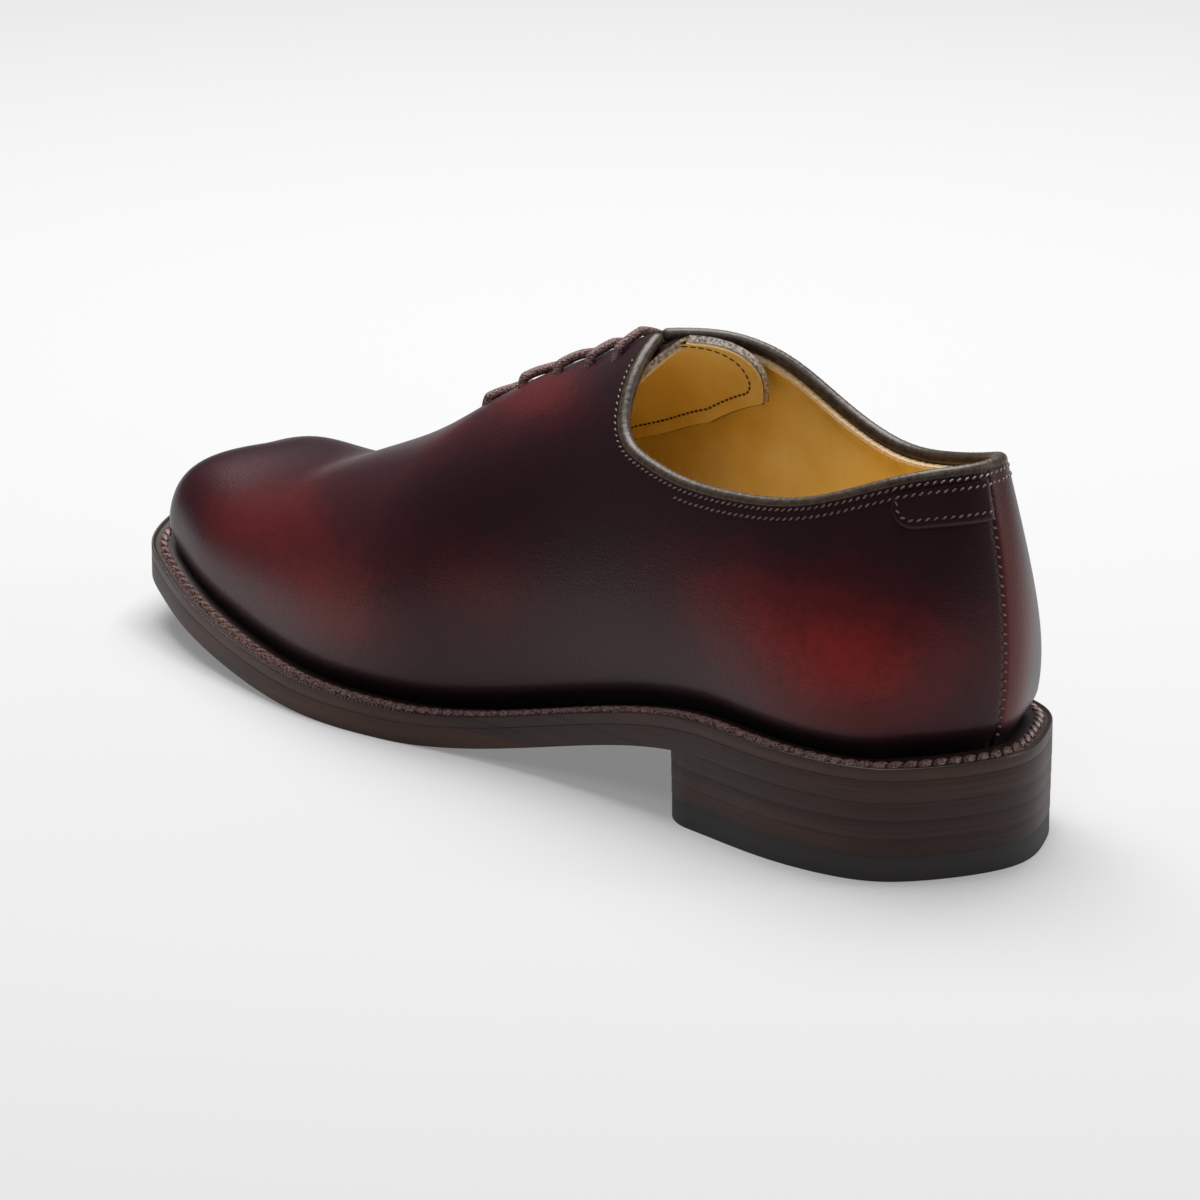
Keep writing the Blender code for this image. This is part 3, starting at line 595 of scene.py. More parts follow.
COLLAR_COLUMNS = ("lateral", "medial")
COLLAR_ROWS = (
    (0.996, 0.996),
    (0.988, 0.990),
    (0.930, 0.936),
    (0.834, 0.868),
    (0.788, 0.842),
    (0.782, 0.935),
    (0.812, 1.072),
    (0.898, 1.160),
)
WALL_COLUMNS = ("out_lateral", "out_medial", "rise", "lean_lateral", "lean_medial", "drop")
WALL_ROWS = (
    (0.095, 0.095, 0.29, 0.10, 0.10, 0.31),
    (0.095, 0.100, 0.29, 0.06, 0.07, 0.31),
    (0.105, 0.105, 0.29, 0.00, 0.01, 0.28),
    (0.120, 0.110, 0.29, -0.01, 0.01, 0.25),
    (0.130, 0.110, 0.29, 0.04, 0.07, 0.24),
    (0.140, 0.110, 0.28, 0.10, 0.15, 0.22),
    (0.145, 0.110, 0.28, 0.165, 0.24, 0.18),
    (0.145, 0.110, 0.28, 0.232, 0.30, 0.13),
    (0.14, 0.11, 0.29, 0.280, 0.340, 0.09),
    (0.13, 0.10, 0.31, 0.318, 0.362, 0.06),
    (0.12, 0.09, 0.33, 0.35, 0.38, 0.03),
    (0.10, 0.08, 0.36, 0.38, 0.40, 0.01),
    (0.08, 0.07, 0.40, 0.42, 0.42, 0.00),
    (0.07, 0.06, 0.44, 0.45, 0.41, 0.00),
    (0.06, 0.06, 0.48, 0.48, 0.42, 0.00),
    (0.05, 0.05, 0.52, 0.52, 0.46, 0.00),
    (0.04, 0.04, 0.50, 0.54, 0.54, 0.00),
    (0.03, 0.03, 0.50, 0.55, 0.55, 0.00),
)


def open_spline(values, u):
    """An open natural cubic spline with one knot a row, read at u."""
    count = len(values)
    matrix = 4 * np.eye(count) + np.eye(count, k=1) + np.eye(count, k=-1)
    matrix[0] = np.eye(count)[0]
    matrix[-1] = np.eye(count)[-1]
    right = np.zeros(count)
    right[1:-1] = 6 * (values[:-2] - 2 * values[1:-1] + values[2:])
    return read_spline(values, np.linalg.solve(matrix, right), np.clip(u, 0, count - 1))


def feather_height(y):
    """Height of the upper's lower rim, which stands on the welt."""
    return welt_seat(y) + WELT_THICKNESS + GAP


def top_line(u):
    """The line that the wall sections rise to, read round the shoe."""
    along = loop_values(TOP_ROWS, TOP_COLUMNS, "along", "along") * SOLE_LENGTH
    across = loop_values(TOP_ROWS, TOP_COLUMNS, "across_lateral", "across_medial") * BALL_WIDTH
    height = loop_values(TOP_ROWS, TOP_COLUMNS, "height", "height") * INSTEP_HEIGHT
    y = ring_spline(along, u)
    return np.stack([ring_spline(across, u), y, feather_height(y) + ring_spline(height, u)], -1)


def crest(row):
    return (top_line(row) + top_line(2 * TOE_ROW - row)) / 2


def row_of(u):
    """The table row at u, counted from the heel on either side."""
    u = np.mod(u, 2 * TOE_ROW)
    return np.minimum(u, 2 * TOE_ROW - u)


def wall_value(name, u):
    lateral, medial = name, name
    if name in ("out", "lean"):
        lateral, medial = name + "_lateral", name + "_medial"
    return ring_spline(loop_values(WALL_ROWS, WALL_COLUMNS, lateral, medial), u)


def crest_slope(row):
    """Rise of the crest for each metre along Y on the vamp, easing to 0 behind the slit."""
    row = np.clip(row, SLIT_START_ROW - 1, TOE_ROW - 0.01)
    step = crest(row + 0.01) - crest(row - 0.01)
    return smoothstep((row - SLIT_START_ROW + 1) / 3) * step[..., 2] / step[..., 1]


def section_points(u):
    """The four Bezier points of the wall section at u, from the sole to the crest: the handles are
    shares of the chord, and the last lies in the crest's tangent plane."""
    foot_xy = inset_edge(u, welt_margin(u))
    foot = np.concatenate([foot_xy, feather_height(foot_xy[..., 1])[..., None]], -1)
    row = row_of(u)[..., None]
    closed = smoothstep((row - SLIT_START_ROW) / (SLIT_END_ROW - SLIT_START_ROW))
    top = closed * crest(row_of(u)) + (1 - closed) * top_line(u)
    chord = np.linalg.norm(top - foot, axis=-1)[..., None]
    outward = np.concatenate([edge_outward(u), np.zeros(np.shape(u) + (1,))], -1)
    up = np.array([0.0, 0.0, 1.0])
    out, rise, lean, drop = (wall_value(name, u)[..., None] for name in ("out", "rise", "lean", "drop"))
    low = foot + chord * (out * outward + rise * up)
    fall = drop - lean * outward[..., 1:2] * crest_slope(row_of(u))[..., None]
    return foot, low, top + chord * (lean * outward - fall * up), top


def upper_surface(u, v):
    """Points of the last's surface: a cubic Bezier section at u, read at v from the sole (0) to the
    crest (1)."""
    u, v = np.broadcast_arrays(np.asarray(u, float), np.asarray(v, float))
    foot, low, high, top = section_points(u)
    t = v[..., None]
    s = 1 - t
    return s**3 * foot + 3 * s * s * t * low + 3 * s * t * t * high + t**3 * top


def upper_normal(u, v):
    step = 0.01
    low, high = np.clip(v - step, 0, 1), np.clip(v + step, 0, 1)
    along = upper_surface(u + step, v) - upper_surface(u - step, v)
    return unit(np.cross(upper_surface(u, high) - upper_surface(u, low), along))


def slit_edge(u):
    """v at the facing's edge, half a slit away from the crest, and 1 beyond the slit's end."""
    share = (SLIT_END_ROW - row_of(u)) / (SLIT_END_ROW - SLIT_START_ROW)
    gap = SLIT_END_GAP + (SLIT_GAP - SLIT_END_GAP) * np.clip(share, 0, 1)
    high, top = section_points(u)[2:]
    return 1 - np.where(share > 0, gap / 2, 0) / (3 * np.linalg.norm(top - high, axis=-1))


def top_of_wall(u):
    """v at the upper's edge: where the section reaches the collar's height, then the slit and the
    closed vamp."""
    u = np.mod(np.atleast_1d(np.asarray(u, float)), 2 * TOE_ROW)
    edge = slit_edge(u)
    seat = feather_height(np.array(0.0))
    near, far = (seat + COLLAR_HEIGHT * column(COLLAR_ROWS, COLLAR_COLUMNS, side) for side in COLLAR_COLUMNS)
    tips = [float(upper_surface(at, slit_edge(at))[2])
            for at in (np.array(float(SLIT_START_ROW)), np.array(float(2 * TOE_ROW - SLIT_START_ROW)))]
    heights = np.concatenate([[tips[0]], near[::-1], far[1:], [tips[1]]])
    position = np.where(u > TOE_ROW, row_of(u), -row_of(u))
    steps = np.linspace(0, 1, 81)
    low = row_of(u) < SLIT_START_ROW
    walls = upper_surface(u[low][:, None], steps[None])[..., 2]
    wanted = open_spline(heights, position[low] + SLIT_START_ROW)[:, None]
    after = np.argmax(walls >= wanted, axis=1)
    pick = np.arange(len(after))
    below, above = walls[pick, after - 1], walls[pick, after]
    edge[low] = steps[after - 1] + (wanted[:, 0] - below) / (above - below) * (steps[1] - steps[0])
    return edge


# Columns close up at the back seam, so that its groove has a shape of its own
SEAM_ROWS = (0.0, 0.015, 0.03, 0.045, 0.06, 0.08, 0.11, 0.15)
COLUMNS_PER_ROW = 14
SEAM_DEPTH = 0.35 * MM
SEAM_WIDTH = 0.7 * MM
SEAM_STEP = 0.30 * MM
# The wall tucks in by this just over the welt, where the welt's inseam pulls it down
FOOT_TUCK = 1.5 * MM
TUCK_HEIGHT = 7.0 * MM


def wall_columns(columns_per_row, near_seam=SEAM_ROWS):
    rows = np.arange(1, TOE_ROW * columns_per_row + 1) / columns_per_row
    rows = np.concatenate([near_seam, rows[rows > near_seam[-1] + 0.03]])
    return np.concatenate([rows, 2 * TOE_ROW - rows[-2:0:-1]])


def vertex_normals(points, faces):
    across = points[faces[:, 2]] - points[faces[:, 0]]
    other = points[faces[:, 3]] - points[faces[:, 1]]
    face_normals = np.cross(across, other)
    normals = np.zeros_like(points)
    for corner in range(4):
        np.add.at(normals, faces[:, corner], face_normals)
    return unit(normals)


def wall_shell(u, steps, outer_depth, inner_depth, seam=False, edge_drop=0.0, tuck=0.0):
    """Points of a shell that follows the last between two depths under its surface, and its faces:
    first the two skins, then the rims between them at the foot, the collar and the slit. Its top
    points on the closed vamp are shared by both sides."""
    count = len(u)
    share = np.linspace(0, 1, steps + 1)
    top = top_of_wall(u)
    if edge_drop:
        rise = np.linalg.norm(upper_surface(u, top) - upper_surface(u, top - 0.02), axis=-1)
        top = top - edge_drop * 0.02 / rise * smoothstep((SLIT_START_ROW - row_of(u)) / 0.4)
    v = share - (1 - top[:, None]) * share**1.7
    points = upper_surface(u[:, None], v)
    points[:, 0, 2] -= GAP
    grid_u = np.broadcast_to(u[:, None], v.shape)
    number = np.arange(v.size).reshape(v.shape)
    closed = np.flatnonzero((u >= SLIT_END_ROW) & (u < TOE_ROW))
    number[count - closed, -1] = number[closed, -1]
    faces = grid_faces(number.T, closed=True)
    used, index = np.unique(faces, return_inverse=True)
    faces = index.reshape(-1, 4)
    renumber = np.full(v.size, -1)
    renumber[used] = np.arange(len(used))
    points, places = points.reshape(-1, 3)[used], np.stack([grid_u, v], -1).reshape(-1, 2)[used]
    normals = vertex_normals(points, faces)
    if np.mean(np.sum(normals * (points - points.mean(0)), -1)) < 0:
        faces, normals = faces[:, ::-1], -normals
    foot = renumber[number[:, 0]]
    normals[foot, 2] = 0
    normals[foot] = unit(normals[foot])
    outside = points - outer_depth * normals
    if seam:
        away = np.where(places[:, 0] > TOE_ROW, 1, -1) * np.abs(points[:, 0])
        dip = SEAM_DEPTH * np.exp(-((away / SEAM_WIDTH) ** 2))
        lap = SEAM_STEP * smoothstep((away + 0.3 * MM) / (0.6 * MM)) * smoothstep((14 * MM - away) / (10 * MM))
        near = (row_of(places[:, 0]) < 3) & (places[:, 1] < 0.98)
        outside += normals * np.where(near, lap * 0.5 - dip, 0)[:, None]
    above_foot = points[:, 2] - feather_height(points[:, 1])
    outside -= normals * (tuck * (1 - smoothstep(above_foot / TUCK_HEIGHT)))[:, None]
    inside = points - (inner_depth + 0.4 * tuck * (1 - smoothstep(above_foot / TUCK_HEIGHT)))[:, None] * normals
    shift = len(points)
    rim_rows = np.concatenate([np.flatnonzero(u <= SLIT_END_ROW), np.flatnonzero(u > 2 * TOE_ROW - SLIT_END_ROW)])
    rim = renumber[number[rim_rows, -1]]
    rims = [grid_faces(np.stack([line, line + shift]), closed=True) for line in (foot, rim)]
    skins = np.concatenate([faces, faces[:, ::-1] + shift])
    return np.concatenate([outside, inside]), [skins, np.concatenate([rims[0], rims[1][:, ::-1]])]


# The patina, as soft patches on the last's surface: x, y and z of each in mm from the heel's back
# end, its reach across, along and up in mm, and how strongly the dye shows through the dark. The
# medial side has its own, alike but not the same.
RED_PATCHES = (
    (-31, 240, 37, 26, 32, 12, 0.26),
    (-40, 215, 34, 26, 36, 18, 0.26),
    (-43, 192, 29, 14, 18, 10, 0.26),
    (-18, 215, 46, 60, 64, 34, 0.10),
    (-38, 142, 42, 18, 30, 12, 0.17),
    (-11, 150, 86, 12, 22, 9, 0.44),
    (-17, 178, 72, 12, 22, 9, 0.22),
    (-28, 20, 53, 28, 19, 13, 0.62),
    (-33, 54, 57, 16, 26, 12, 0.48),
    (-30, 32, 42, 24, 30, 13, 0.42),
    (8, 2, 56, 6, 8, 34, 0.30),
    (42, 220, 32, 24, 34, 18, 0.34),
    (44, 160, 40, 14, 28, 12, 0.24),
    (36, 36, 54, 22, 28, 16, 0.62),
    (24, 150, 82, 12, 18, 9, 0.34),
)
BROWN_PATCHES = (
    (-44, 191, 29, 16, 17, 9, 0.75),
    (-36, 143, 42, 16, 20, 9, 0.30),
    (-24, 236, 44, 16, 22, 10, 0.22),
    (4.0, 2, 46, 4.5, 8, 38, 2.4),
    (44, 190, 30, 14, 14, 10, 0.6),
)


def patch_amount(points, patches):
    """The sum of soft bells over the points, held under 1 by 1 - exp(-sum)."""
    table = np.array(patches, float)
    off = (points[:, None] / MM - table[None, :, :3]) / table[None, :, 3:6]
    return 1 - np.exp(-np.sum(table[:, 6] * np.exp(-np.sum(off**2, -1)) * 1.6, -1))


def patina_marks(points):
    """The patches, with the seam as a border of the ones behind it and none in the tuck over the welt, and a foot
    mark of painted shade: 1 just over the welt, fading out by 8 mm up the wall.
    """
    right_of_seam = smoothstep((points[:, 0] + 0.4 * MM) / (0.8 * MM))
    right_of_seam = np.where(points[:, 1] < 12 * MM, right_of_seam, 1)
    above_foot = smoothstep((points[:, 2] - feather_height(points[:, 1]) - 1 * MM) / (7 * MM))
    return {"red": patch_amount(points, RED_PATCHES) * above_foot,
            "brown": patch_amount(points, BROWN_PATCHES) * right_of_seam * above_foot, "foot": 1 - above_foot}


# Hand-dyed box calf: a tight fine grain, glossy from burnishing. The dye clouds softly, a second
# noise breaks up its borders, and the thin wax coat gives a clear, slightly hazy reflection.
GRAIN_SIZE = 0.35 * MM
burnished_calf, tree, shader = new_finish(
    "burnished_box_calf", "#1d1015", 0.45, Specular_IOR_Level=0.38, Coat_Weight=0.22,
    Coat_Roughness=0.2, Coat_IOR=1.45, Specular_Tint=linear("#d2a0a2"))
place = add_node(tree, "TexCoord")
red_mark = add_node(tree, "Attribute", attribute_name="red")
brown_mark = add_node(tree, "Attribute", attribute_name="brown")
# Scale, detail and roughness of the two noises that stir the marks, and by how much
stirs = []
for scale, detail, rough, most in ((38.0, 4.0, 0.55, 0.06), (420.0, 3.0, 0.5, 0.045)):
    noise = add_node(tree, "TexNoise", {"Vector": place.outputs["Object"], "Scale": scale, "Detail": detail,
                                        "Roughness": rough})
    stirs.append(add_node(tree, "MapRange", {"Value": noise.outputs["Fac"], "From Min": 0.3, "From Max": 0.7,
                                             "To Min": -most, "To Max": most}).outputs["Result"])
stir = add_node(tree, "Math", {0: stirs[0], 1: stirs[1]}, operation="ADD")
red_stirred = add_node(tree, "Math", {0: red_mark.outputs["Fac"], 1: stir.outputs["Value"]}, operation="ADD")
dye = add_node(tree, "ValToRGB", {"Fac": red_stirred.outputs["Value"]},
               stops=((0.04, "#1e0b10"), (0.22, "#2e0c11"), (0.48, "#4a1214"), (0.88, "#7e211c")))
dye.color_ramp.interpolation = "EASE"
brown_stirred = add_node(tree, "Math", {0: brown_mark.outputs["Fac"], 1: stir.outputs["Value"]}, operation="ADD")
brown_share = add_node(tree, "MapRange", {"Value": brown_stirred.outputs["Value"], "From Min": 0.15,
                                          "From Max": 0.95, "To Max": 0.7})
dyed = add_node(tree, "Mix", {"Factor": brown_share.outputs["Result"], "A": dye.outputs["Color"],
                              "B": linear("#5c2119")}, data_type="RGBA")
# Painted shade: the foot mark turns the colour nearly black just over the welt, standing in for the shadow of the
# wall's undercut there.
painted_welt_shade_mark = add_node(tree, "Attribute", attribute_name="foot")
welt_shade_mixed = add_node(tree, "Mix", {"Factor": painted_welt_shade_mark.outputs["Fac"], "A": dyed.outputs["Result"],
                               "B": linear("#050304")}, data_type="RGBA")
tree.links.new(welt_shade_mixed.outputs["Result"], shader.inputs["Base Color"])
grain = add_node(tree, "TexVoronoi", {"Vector": place.outputs["Object"], "Scale": 1 / GRAIN_SIZE / 1.6})
relief = add_node(tree, "Bump", {"Height": grain.outputs["Distance"], "Distance": 0.1 * MM, "Strength": 0.45})
for socket in ("Normal", "Coat Normal"):
    tree.links.new(relief.outputs["Normal"], shader.inputs[socket])

# The calf laps this far up the outside of the collar's bead
COLLAR_LAP = 1.1 * MM
CALF_THICKNESS = 1.2 * MM
points, faces = wall_shell(wall_columns(COLUMNS_PER_ROW), 64, 0.0, CALF_THICKNESS, seam=True,
                           edge_drop=-COLLAR_LAP, tuck=FOOT_TUCK)
add_piece("upper_calf", points, faces, [burnished_calf, edge_leather], "burnished_calf", "upper", sharp=45,
          marks=patina_marks(points), worn_by=[0, 1])


# --- Lining
# Golden vegetable-tanned calf, glued inside the upper. It stops just under the collar's bead, where
# its raw cut edge shows as a pale line.
lining_leather, tree, shader = new_finish("golden_lining_calf", "#b98226", 0.42, Coat_Weight=0.15, Coat_Roughness=0.4)
place = add_node(tree, "TexCoord")
mottle = add_node(tree, "TexNoise", {"Vector": place.outputs["Object"], "Scale": 60.0, "Detail": 5.0})
gold = add_node(tree, "ValToRGB", {"Fac": mottle.outputs["Fac"]}, stops=((0.3, "#eec96f"), (0.75, "#fae295")))
tree.links.new(gold.outputs["Color"], shader.inputs["Base Color"])
grain = add_node(tree, "TexVoronoi", {"Vector": place.outputs["Object"], "Scale": 1400.0})
relief = add_node(tree, "Bump", {"Height": grain.outputs["Distance"], "Distance": 0.1 * MM, "Strength": 0.5})
tree.links.new(relief.outputs["Normal"], shader.inputs["Normal"])

LINING_DROP = 1.0 * MM
points, faces = wall_shell(wall_columns(7), 32, CALF_THICKNESS + 0.02 * MM, WALL, edge_drop=LINING_DROP,
                           tuck=FOOT_TUCK)
add_piece("upper_lining", points, faces, [lining_leather], "lining_leather", "upper", sharp=45)
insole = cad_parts["insole"]
insole.data.materials.clear()
insole.data.materials.append(lining_leather)


# --- Collar binding
# A strip of dark brown kid rolled over the collar's edge, so that it stands as a round bead, with
# fine pulled wrinkles where it turns the curves.
BEAD_DIAMETER = 3.5 * MM
BEAD_SIDES = 20
BEAD_DEPTH = 1.55 * MM


def collar_line(position, depth=0.0):
    """Points, outward normals and away-from-the-shoe directions on the collar's edge: position runs
    from -8 at the lateral facing's tip over 0 at the back seam to 8 at the medial one."""
    u = np.where(position <= 0, -position, 2 * TOE_ROW - position)
    u = np.mod(u, 2 * TOE_ROW)
    edge = upper_surface(u, top_of_wall(u))
    normal = upper_normal(u, top_of_wall(u))
    away = unit(np.cross(normal, np.gradient(edge, axis=0)))
    away = away * np.sign(np.mean(away[:, 2]))
    return edge - normal * depth, normal, away


def swept_tube(path, first, second, radius, sides, squash=1.0):
    """A tube whose ring at each path point lies in the plane of first and second, with flat ends
    drawn in to a point."""
    angle = np.arange(sides) * 2 * math.pi / sides
    radius = np.broadcast_to(np.asarray(radius, float), (len(path), sides))[..., None]
    rings = (path[:, None] + radius * np.cos(angle)[None, :, None] * first[:, None]
             + radius * squash * np.sin(angle)[None, :, None] * second[:, None])
    number = np.arange(len(path) * sides).reshape(len(path), sides)
    faces = grid_faces(number, closed=True)
    caps = pole_caps(number, number.size, number.size + 1)
    return np.concatenate([rings.reshape(-1, 3), path[:1], path[-1:]]), [faces, caps]


position = np.linspace(-SLIT_START_ROW, SLIT_START_ROW, 900)
edge, normal, away = collar_line(position, BEAD_DEPTH)
bead_path = edge + away * (BEAD_DIAMETER / 2 - 0.25 * MM)
bead_angle = np.arange(BEAD_SIDES) * 2 * math.pi / BEAD_SIDES
run = run_along(bead_path)
# Wrinkles: three waves along the bead whose places wander round it
wrinkle = sum(np.sin(run[:, None] / (length * MM) * 2 * math.pi + swing * np.cos(bead_angle[None] + at))
              for length, swing, at in ((2.3, 2.0, 0.0), (3.7, 3.1, 1.4), (1.4, 2.4, 2.6)))
ends_soft = np.minimum(1, np.minimum(run, run[-1] - run) / (2.0 * MM))
ends_soft = np.sqrt(np.clip(1 - (1 - ends_soft) ** 2, 0, 1))
bead_radius = (BEAD_DIAMETER / 2 + 0.012 * MM * wrinkle) * np.maximum(ends_soft, 0.05)[:, None]
points, faces = swept_tube(bead_path, away, normal, bead_radius, BEAD_SIDES, squash=0.95)

# Drum-dyed kid: soft and fine, dark grey-brown, with a broken silky highlight
binding_leather = mottled_finish(
    "rolled_kid_binding", "#3a332e", 0.42, 700.0, 4.0, ((0.3, "#2a211a"), (0.75, "#4e4032")), (0.25 * MM, 0.6),
    Specular_IOR_Level=0.32, Coat_Weight=0.12, Coat_Roughness=0.25)
add_piece("collar_binding_rolled", points, faces, [binding_leather], "binding_leather", "collar_binding", sharp=60)

# The lining's raw edge: a pale tan line, slightly ragged from the knife
RAW_EDGE_HEIGHT = 1.8 * MM
position = np.linspace(-SLIT_START_ROW + 0.02, SLIT_START_ROW - 0.02, 800)
edge, normal, away = collar_line(position, WALL + 1.45 * MM)
run = run_along(edge)
ragged = sum(np.sin(run / (length * MM) * 2 * math.pi + at) for length, at in ((1.1, 0.3), (1.9, 2.0), (3.1, 4.0)))
middle_line = edge - away * ((0.4 - 0.06 * ragged[:, None]) * MM)
points, faces = swept_tube(middle_line, away, normal, RAW_EDGE_HEIGHT / 2, 8, squash=1.25)
raw_edge = mottled_finish("raw_cut_calf_edge", "#d9b583", 0.75, 900.0, 3.0, ((0.0, "#c79c62"), (1.0, "#f6dcb0")))
add_piece("lining_edge", points, faces, [raw_edge], "lining_leather")

# Collar stitching: one row under the bead all round, and a second below it behind the quarters'
# front, both of fine mauve thread sunk in the leather
COLLAR_STITCH_PITCH = 1.9 * MM
FINE_STITCH = (1.35 * MM, 0.46 * MM, 0.22 * MM)


def wall_row(position, below):
    """A line on the upper's outer side at a distance under the collar's edge, with its normals."""
    u = np.where(position <= 0, -position, 2 * TOE_ROW - position)
    u = np.mod(u, 2 * TOE_ROW)
    top = top_of_wall(u)
    reach = np.linalg.norm(upper_surface(u, top) - upper_surface(u, top - 0.05), axis=-1)
    v = top - 0.05 * below / reach
    return upper_surface(u, v), upper_normal(u, v)


fine_thread = mottled_finish(
    "fine_waxed_thread", "#7d625c", 0.5, 2600.0, 2.0, ((0.35, "#2c1e1b"), (0.6, "#7f6259")),
    Coat_Weight=0.2, Coat_Roughness=0.3)
shapes = []
for first, last, below in ((-7.8, 7.8, -0.05 * MM), (-5.1, 5.1, 2.15 * MM)):
    line, normal = wall_row(np.linspace(first, last, 1200), below)
    lift = np.where(np.abs(np.linspace(first, last, 1200) + 0.85) < 0.85, 1.5 * MM, 0.1 * MM)[:, None]
    shapes.append(sewn_row(line + normal * lift, normal, COLLAR_STITCH_PITCH, FINE_STITCH, askew=0.5))
points, faces = join_shapes(shapes)
add_piece("collar_stitching", points, faces, [fine_thread], "burnished_calf")

# Back seam: short stitches across the groove
BACK_STITCH_PITCH = 2.25 * MM
BACK_STITCH = (1.5 * MM, 0.6 * MM, 0.3 * MM)
v = np.linspace(0.03, 0.80, 300)
line = upper_surface(np.zeros(300), v)
points, faces = sewn_row(line + 0.02 * MM, upper_normal(np.zeros(300), v), BACK_STITCH_PITCH, BACK_STITCH,
                         askew=1.15)
add_piece("back_seam_stitching", points, faces, [fine_thread], "burnished_calf")


# --- Heel tab
# The tail of the medial quarter, which crosses the back seam under the collar and is sewn down
# on the lateral side with a rounded corner.
TAB_THICKNESS = 1.3 * MM
TAB_END_ROW = 1.75
TAB_LOW_SHARE = 0.845
TAB_HIGH_SHARE = 0.985
TAB_CLIMB_SHARE = 0.12
TAB_CORNER_SHARE = 0.75
# About how long and how high it is, for the rounding of its edges
TAB_LENGTH = 34 * MM
TAB_HEIGHT = 9 * MM


def tab_low(share):
    turn = np.clip((share - TAB_CORNER_SHARE) / (1 - TAB_CORNER_SHARE), 0, 1)
    return TAB_LOW_SHARE + TAB_CLIMB_SHARE * (1 - np.sqrt(1 - turn**2))


def tab_places(share, upwards):
    """(u, v) on the tab: share runs from the back seam to its end, upwards from its lower edge."""
    low = tab_low(share)
    u = TAB_END_ROW * share
    return u, (low + (TAB_HIGH_SHARE - low) * upwards) * top_of_wall(u.ravel()).reshape(u.shape)


def sheet_shell(inner, outer):
    """Faces between two grids of points, one over the other, closed round their border."""
    rows, columns = inner.shape[:2]
    number = np.arange(rows * columns).reshape(rows, columns)
    shift = rows * columns
    border = np.concatenate([number[0, :-1], number[:-1, -1], number[-1, :0:-1], number[:0:-1, 0]])
    sides = grid_faces(np.stack([border, border + shift]), closed=True)
    skins = np.concatenate([grid_faces(number), grid_faces(number)[:, ::-1] + shift])
    return np.concatenate([inner.reshape(-1, 3), outer.reshape(-1, 3)]), [skins, sides[:, ::-1]]


share, upwards = np.meshgrid(np.linspace(0, 1, 64), np.linspace(0, 1, 24), indexing="ij")
u, v = tab_places(share, upwards)
base, normal = upper_surface(u, v), upper_normal(u, v)
# The edge is skived thin and rounded: its thickness falls by a quarter circle over the last millimetre
to_edge = np.minimum((1 - share) * TAB_LENGTH, upwards * TAB_HEIGHT)
round_off = np.sqrt(np.clip(1 - (1 - np.clip(to_edge / (0.9 * MM), 0, 1)) ** 2, 0.04, 1))
seam_side = smoothstep(share * TAB_LENGTH / (1.5 * MM))
outer = base + normal * (0.05 * MM + TAB_THICKNESS * round_off * (0.45 + 0.55 * seam_side))[..., None]
points, faces = sheet_shell(base - normal * 0.1 * MM, outer)
add_piece("heel_tab_sewn", points, faces, [burnished_calf], "burnished_calf", "heel_tab", sharp=60,
          marks=patina_marks(points))

# Its row of stitches: along the lower edge, round the corner by a quarter circle and up to the bead
turn = np.linspace(0, math.pi / 2, 40)
share = np.concatenate([np.linspace(0.02, 0.77, 300), 0.77 + 0.175 * np.sin(turn), np.full(12, 0.945)])
climb = np.concatenate([np.full(300, 0.878), 0.878 + 0.07 * (1 - np.cos(turn)), np.linspace(0.948, 0.962, 12)])
u = TAB_END_ROW * share
line, normal = upper_surface(u, climb * top_of_wall(u)), upper_normal(u, climb * top_of_wall(u))
points, faces = sewn_row(line + normal * (TAB_THICKNESS + 0.07 * MM), normal, COLLAR_STITCH_PITCH, FINE_STITCH,
                         askew=0.5)
add_piece("heel_tab_stitching", points, faces, [fine_thread], "burnished_calf")


# --- Tongue
# Calf lined with the golden leather, sewn in under the end of the facings. Its edges are cut raw,
# and a dark row of stitches inside them holds its two layers.
TONGUE_THICKNESS = 2.4 * MM
TONGUE_WIDTH = 60 * MM
TONGUE_SEWN_WIDTH = 44 * MM
TONGUE_SINK = 2.6 * MM
TONGUE_FREE_LENGTH = 24 * MM
TONGUE_SEWN_ROWS = 0.4
TONGUE_MEDIAL_REACH = 44.0 * MM
TONGUE_MEDIAL_TAPER = 7.6 * MM
TONGUE_DROOP = 2.5 * MM
TONGUE_MEDIAL_DROOP = 5.0 * MM
# How much of the free length is left after the cut, from the lateral edge to the medial one
TONGUE_CUT_ACROSS = (-1.0, -0.6, -0.4, -0.2, 0.0, 0.2, 0.4, 0.6, 0.85, 1.0)
TONGUE_CUT_LENGTH = (0.04, 0.07, 0.12, 0.24, 0.46, 0.68, 0.89, 1.07, 1.16, 0.98)


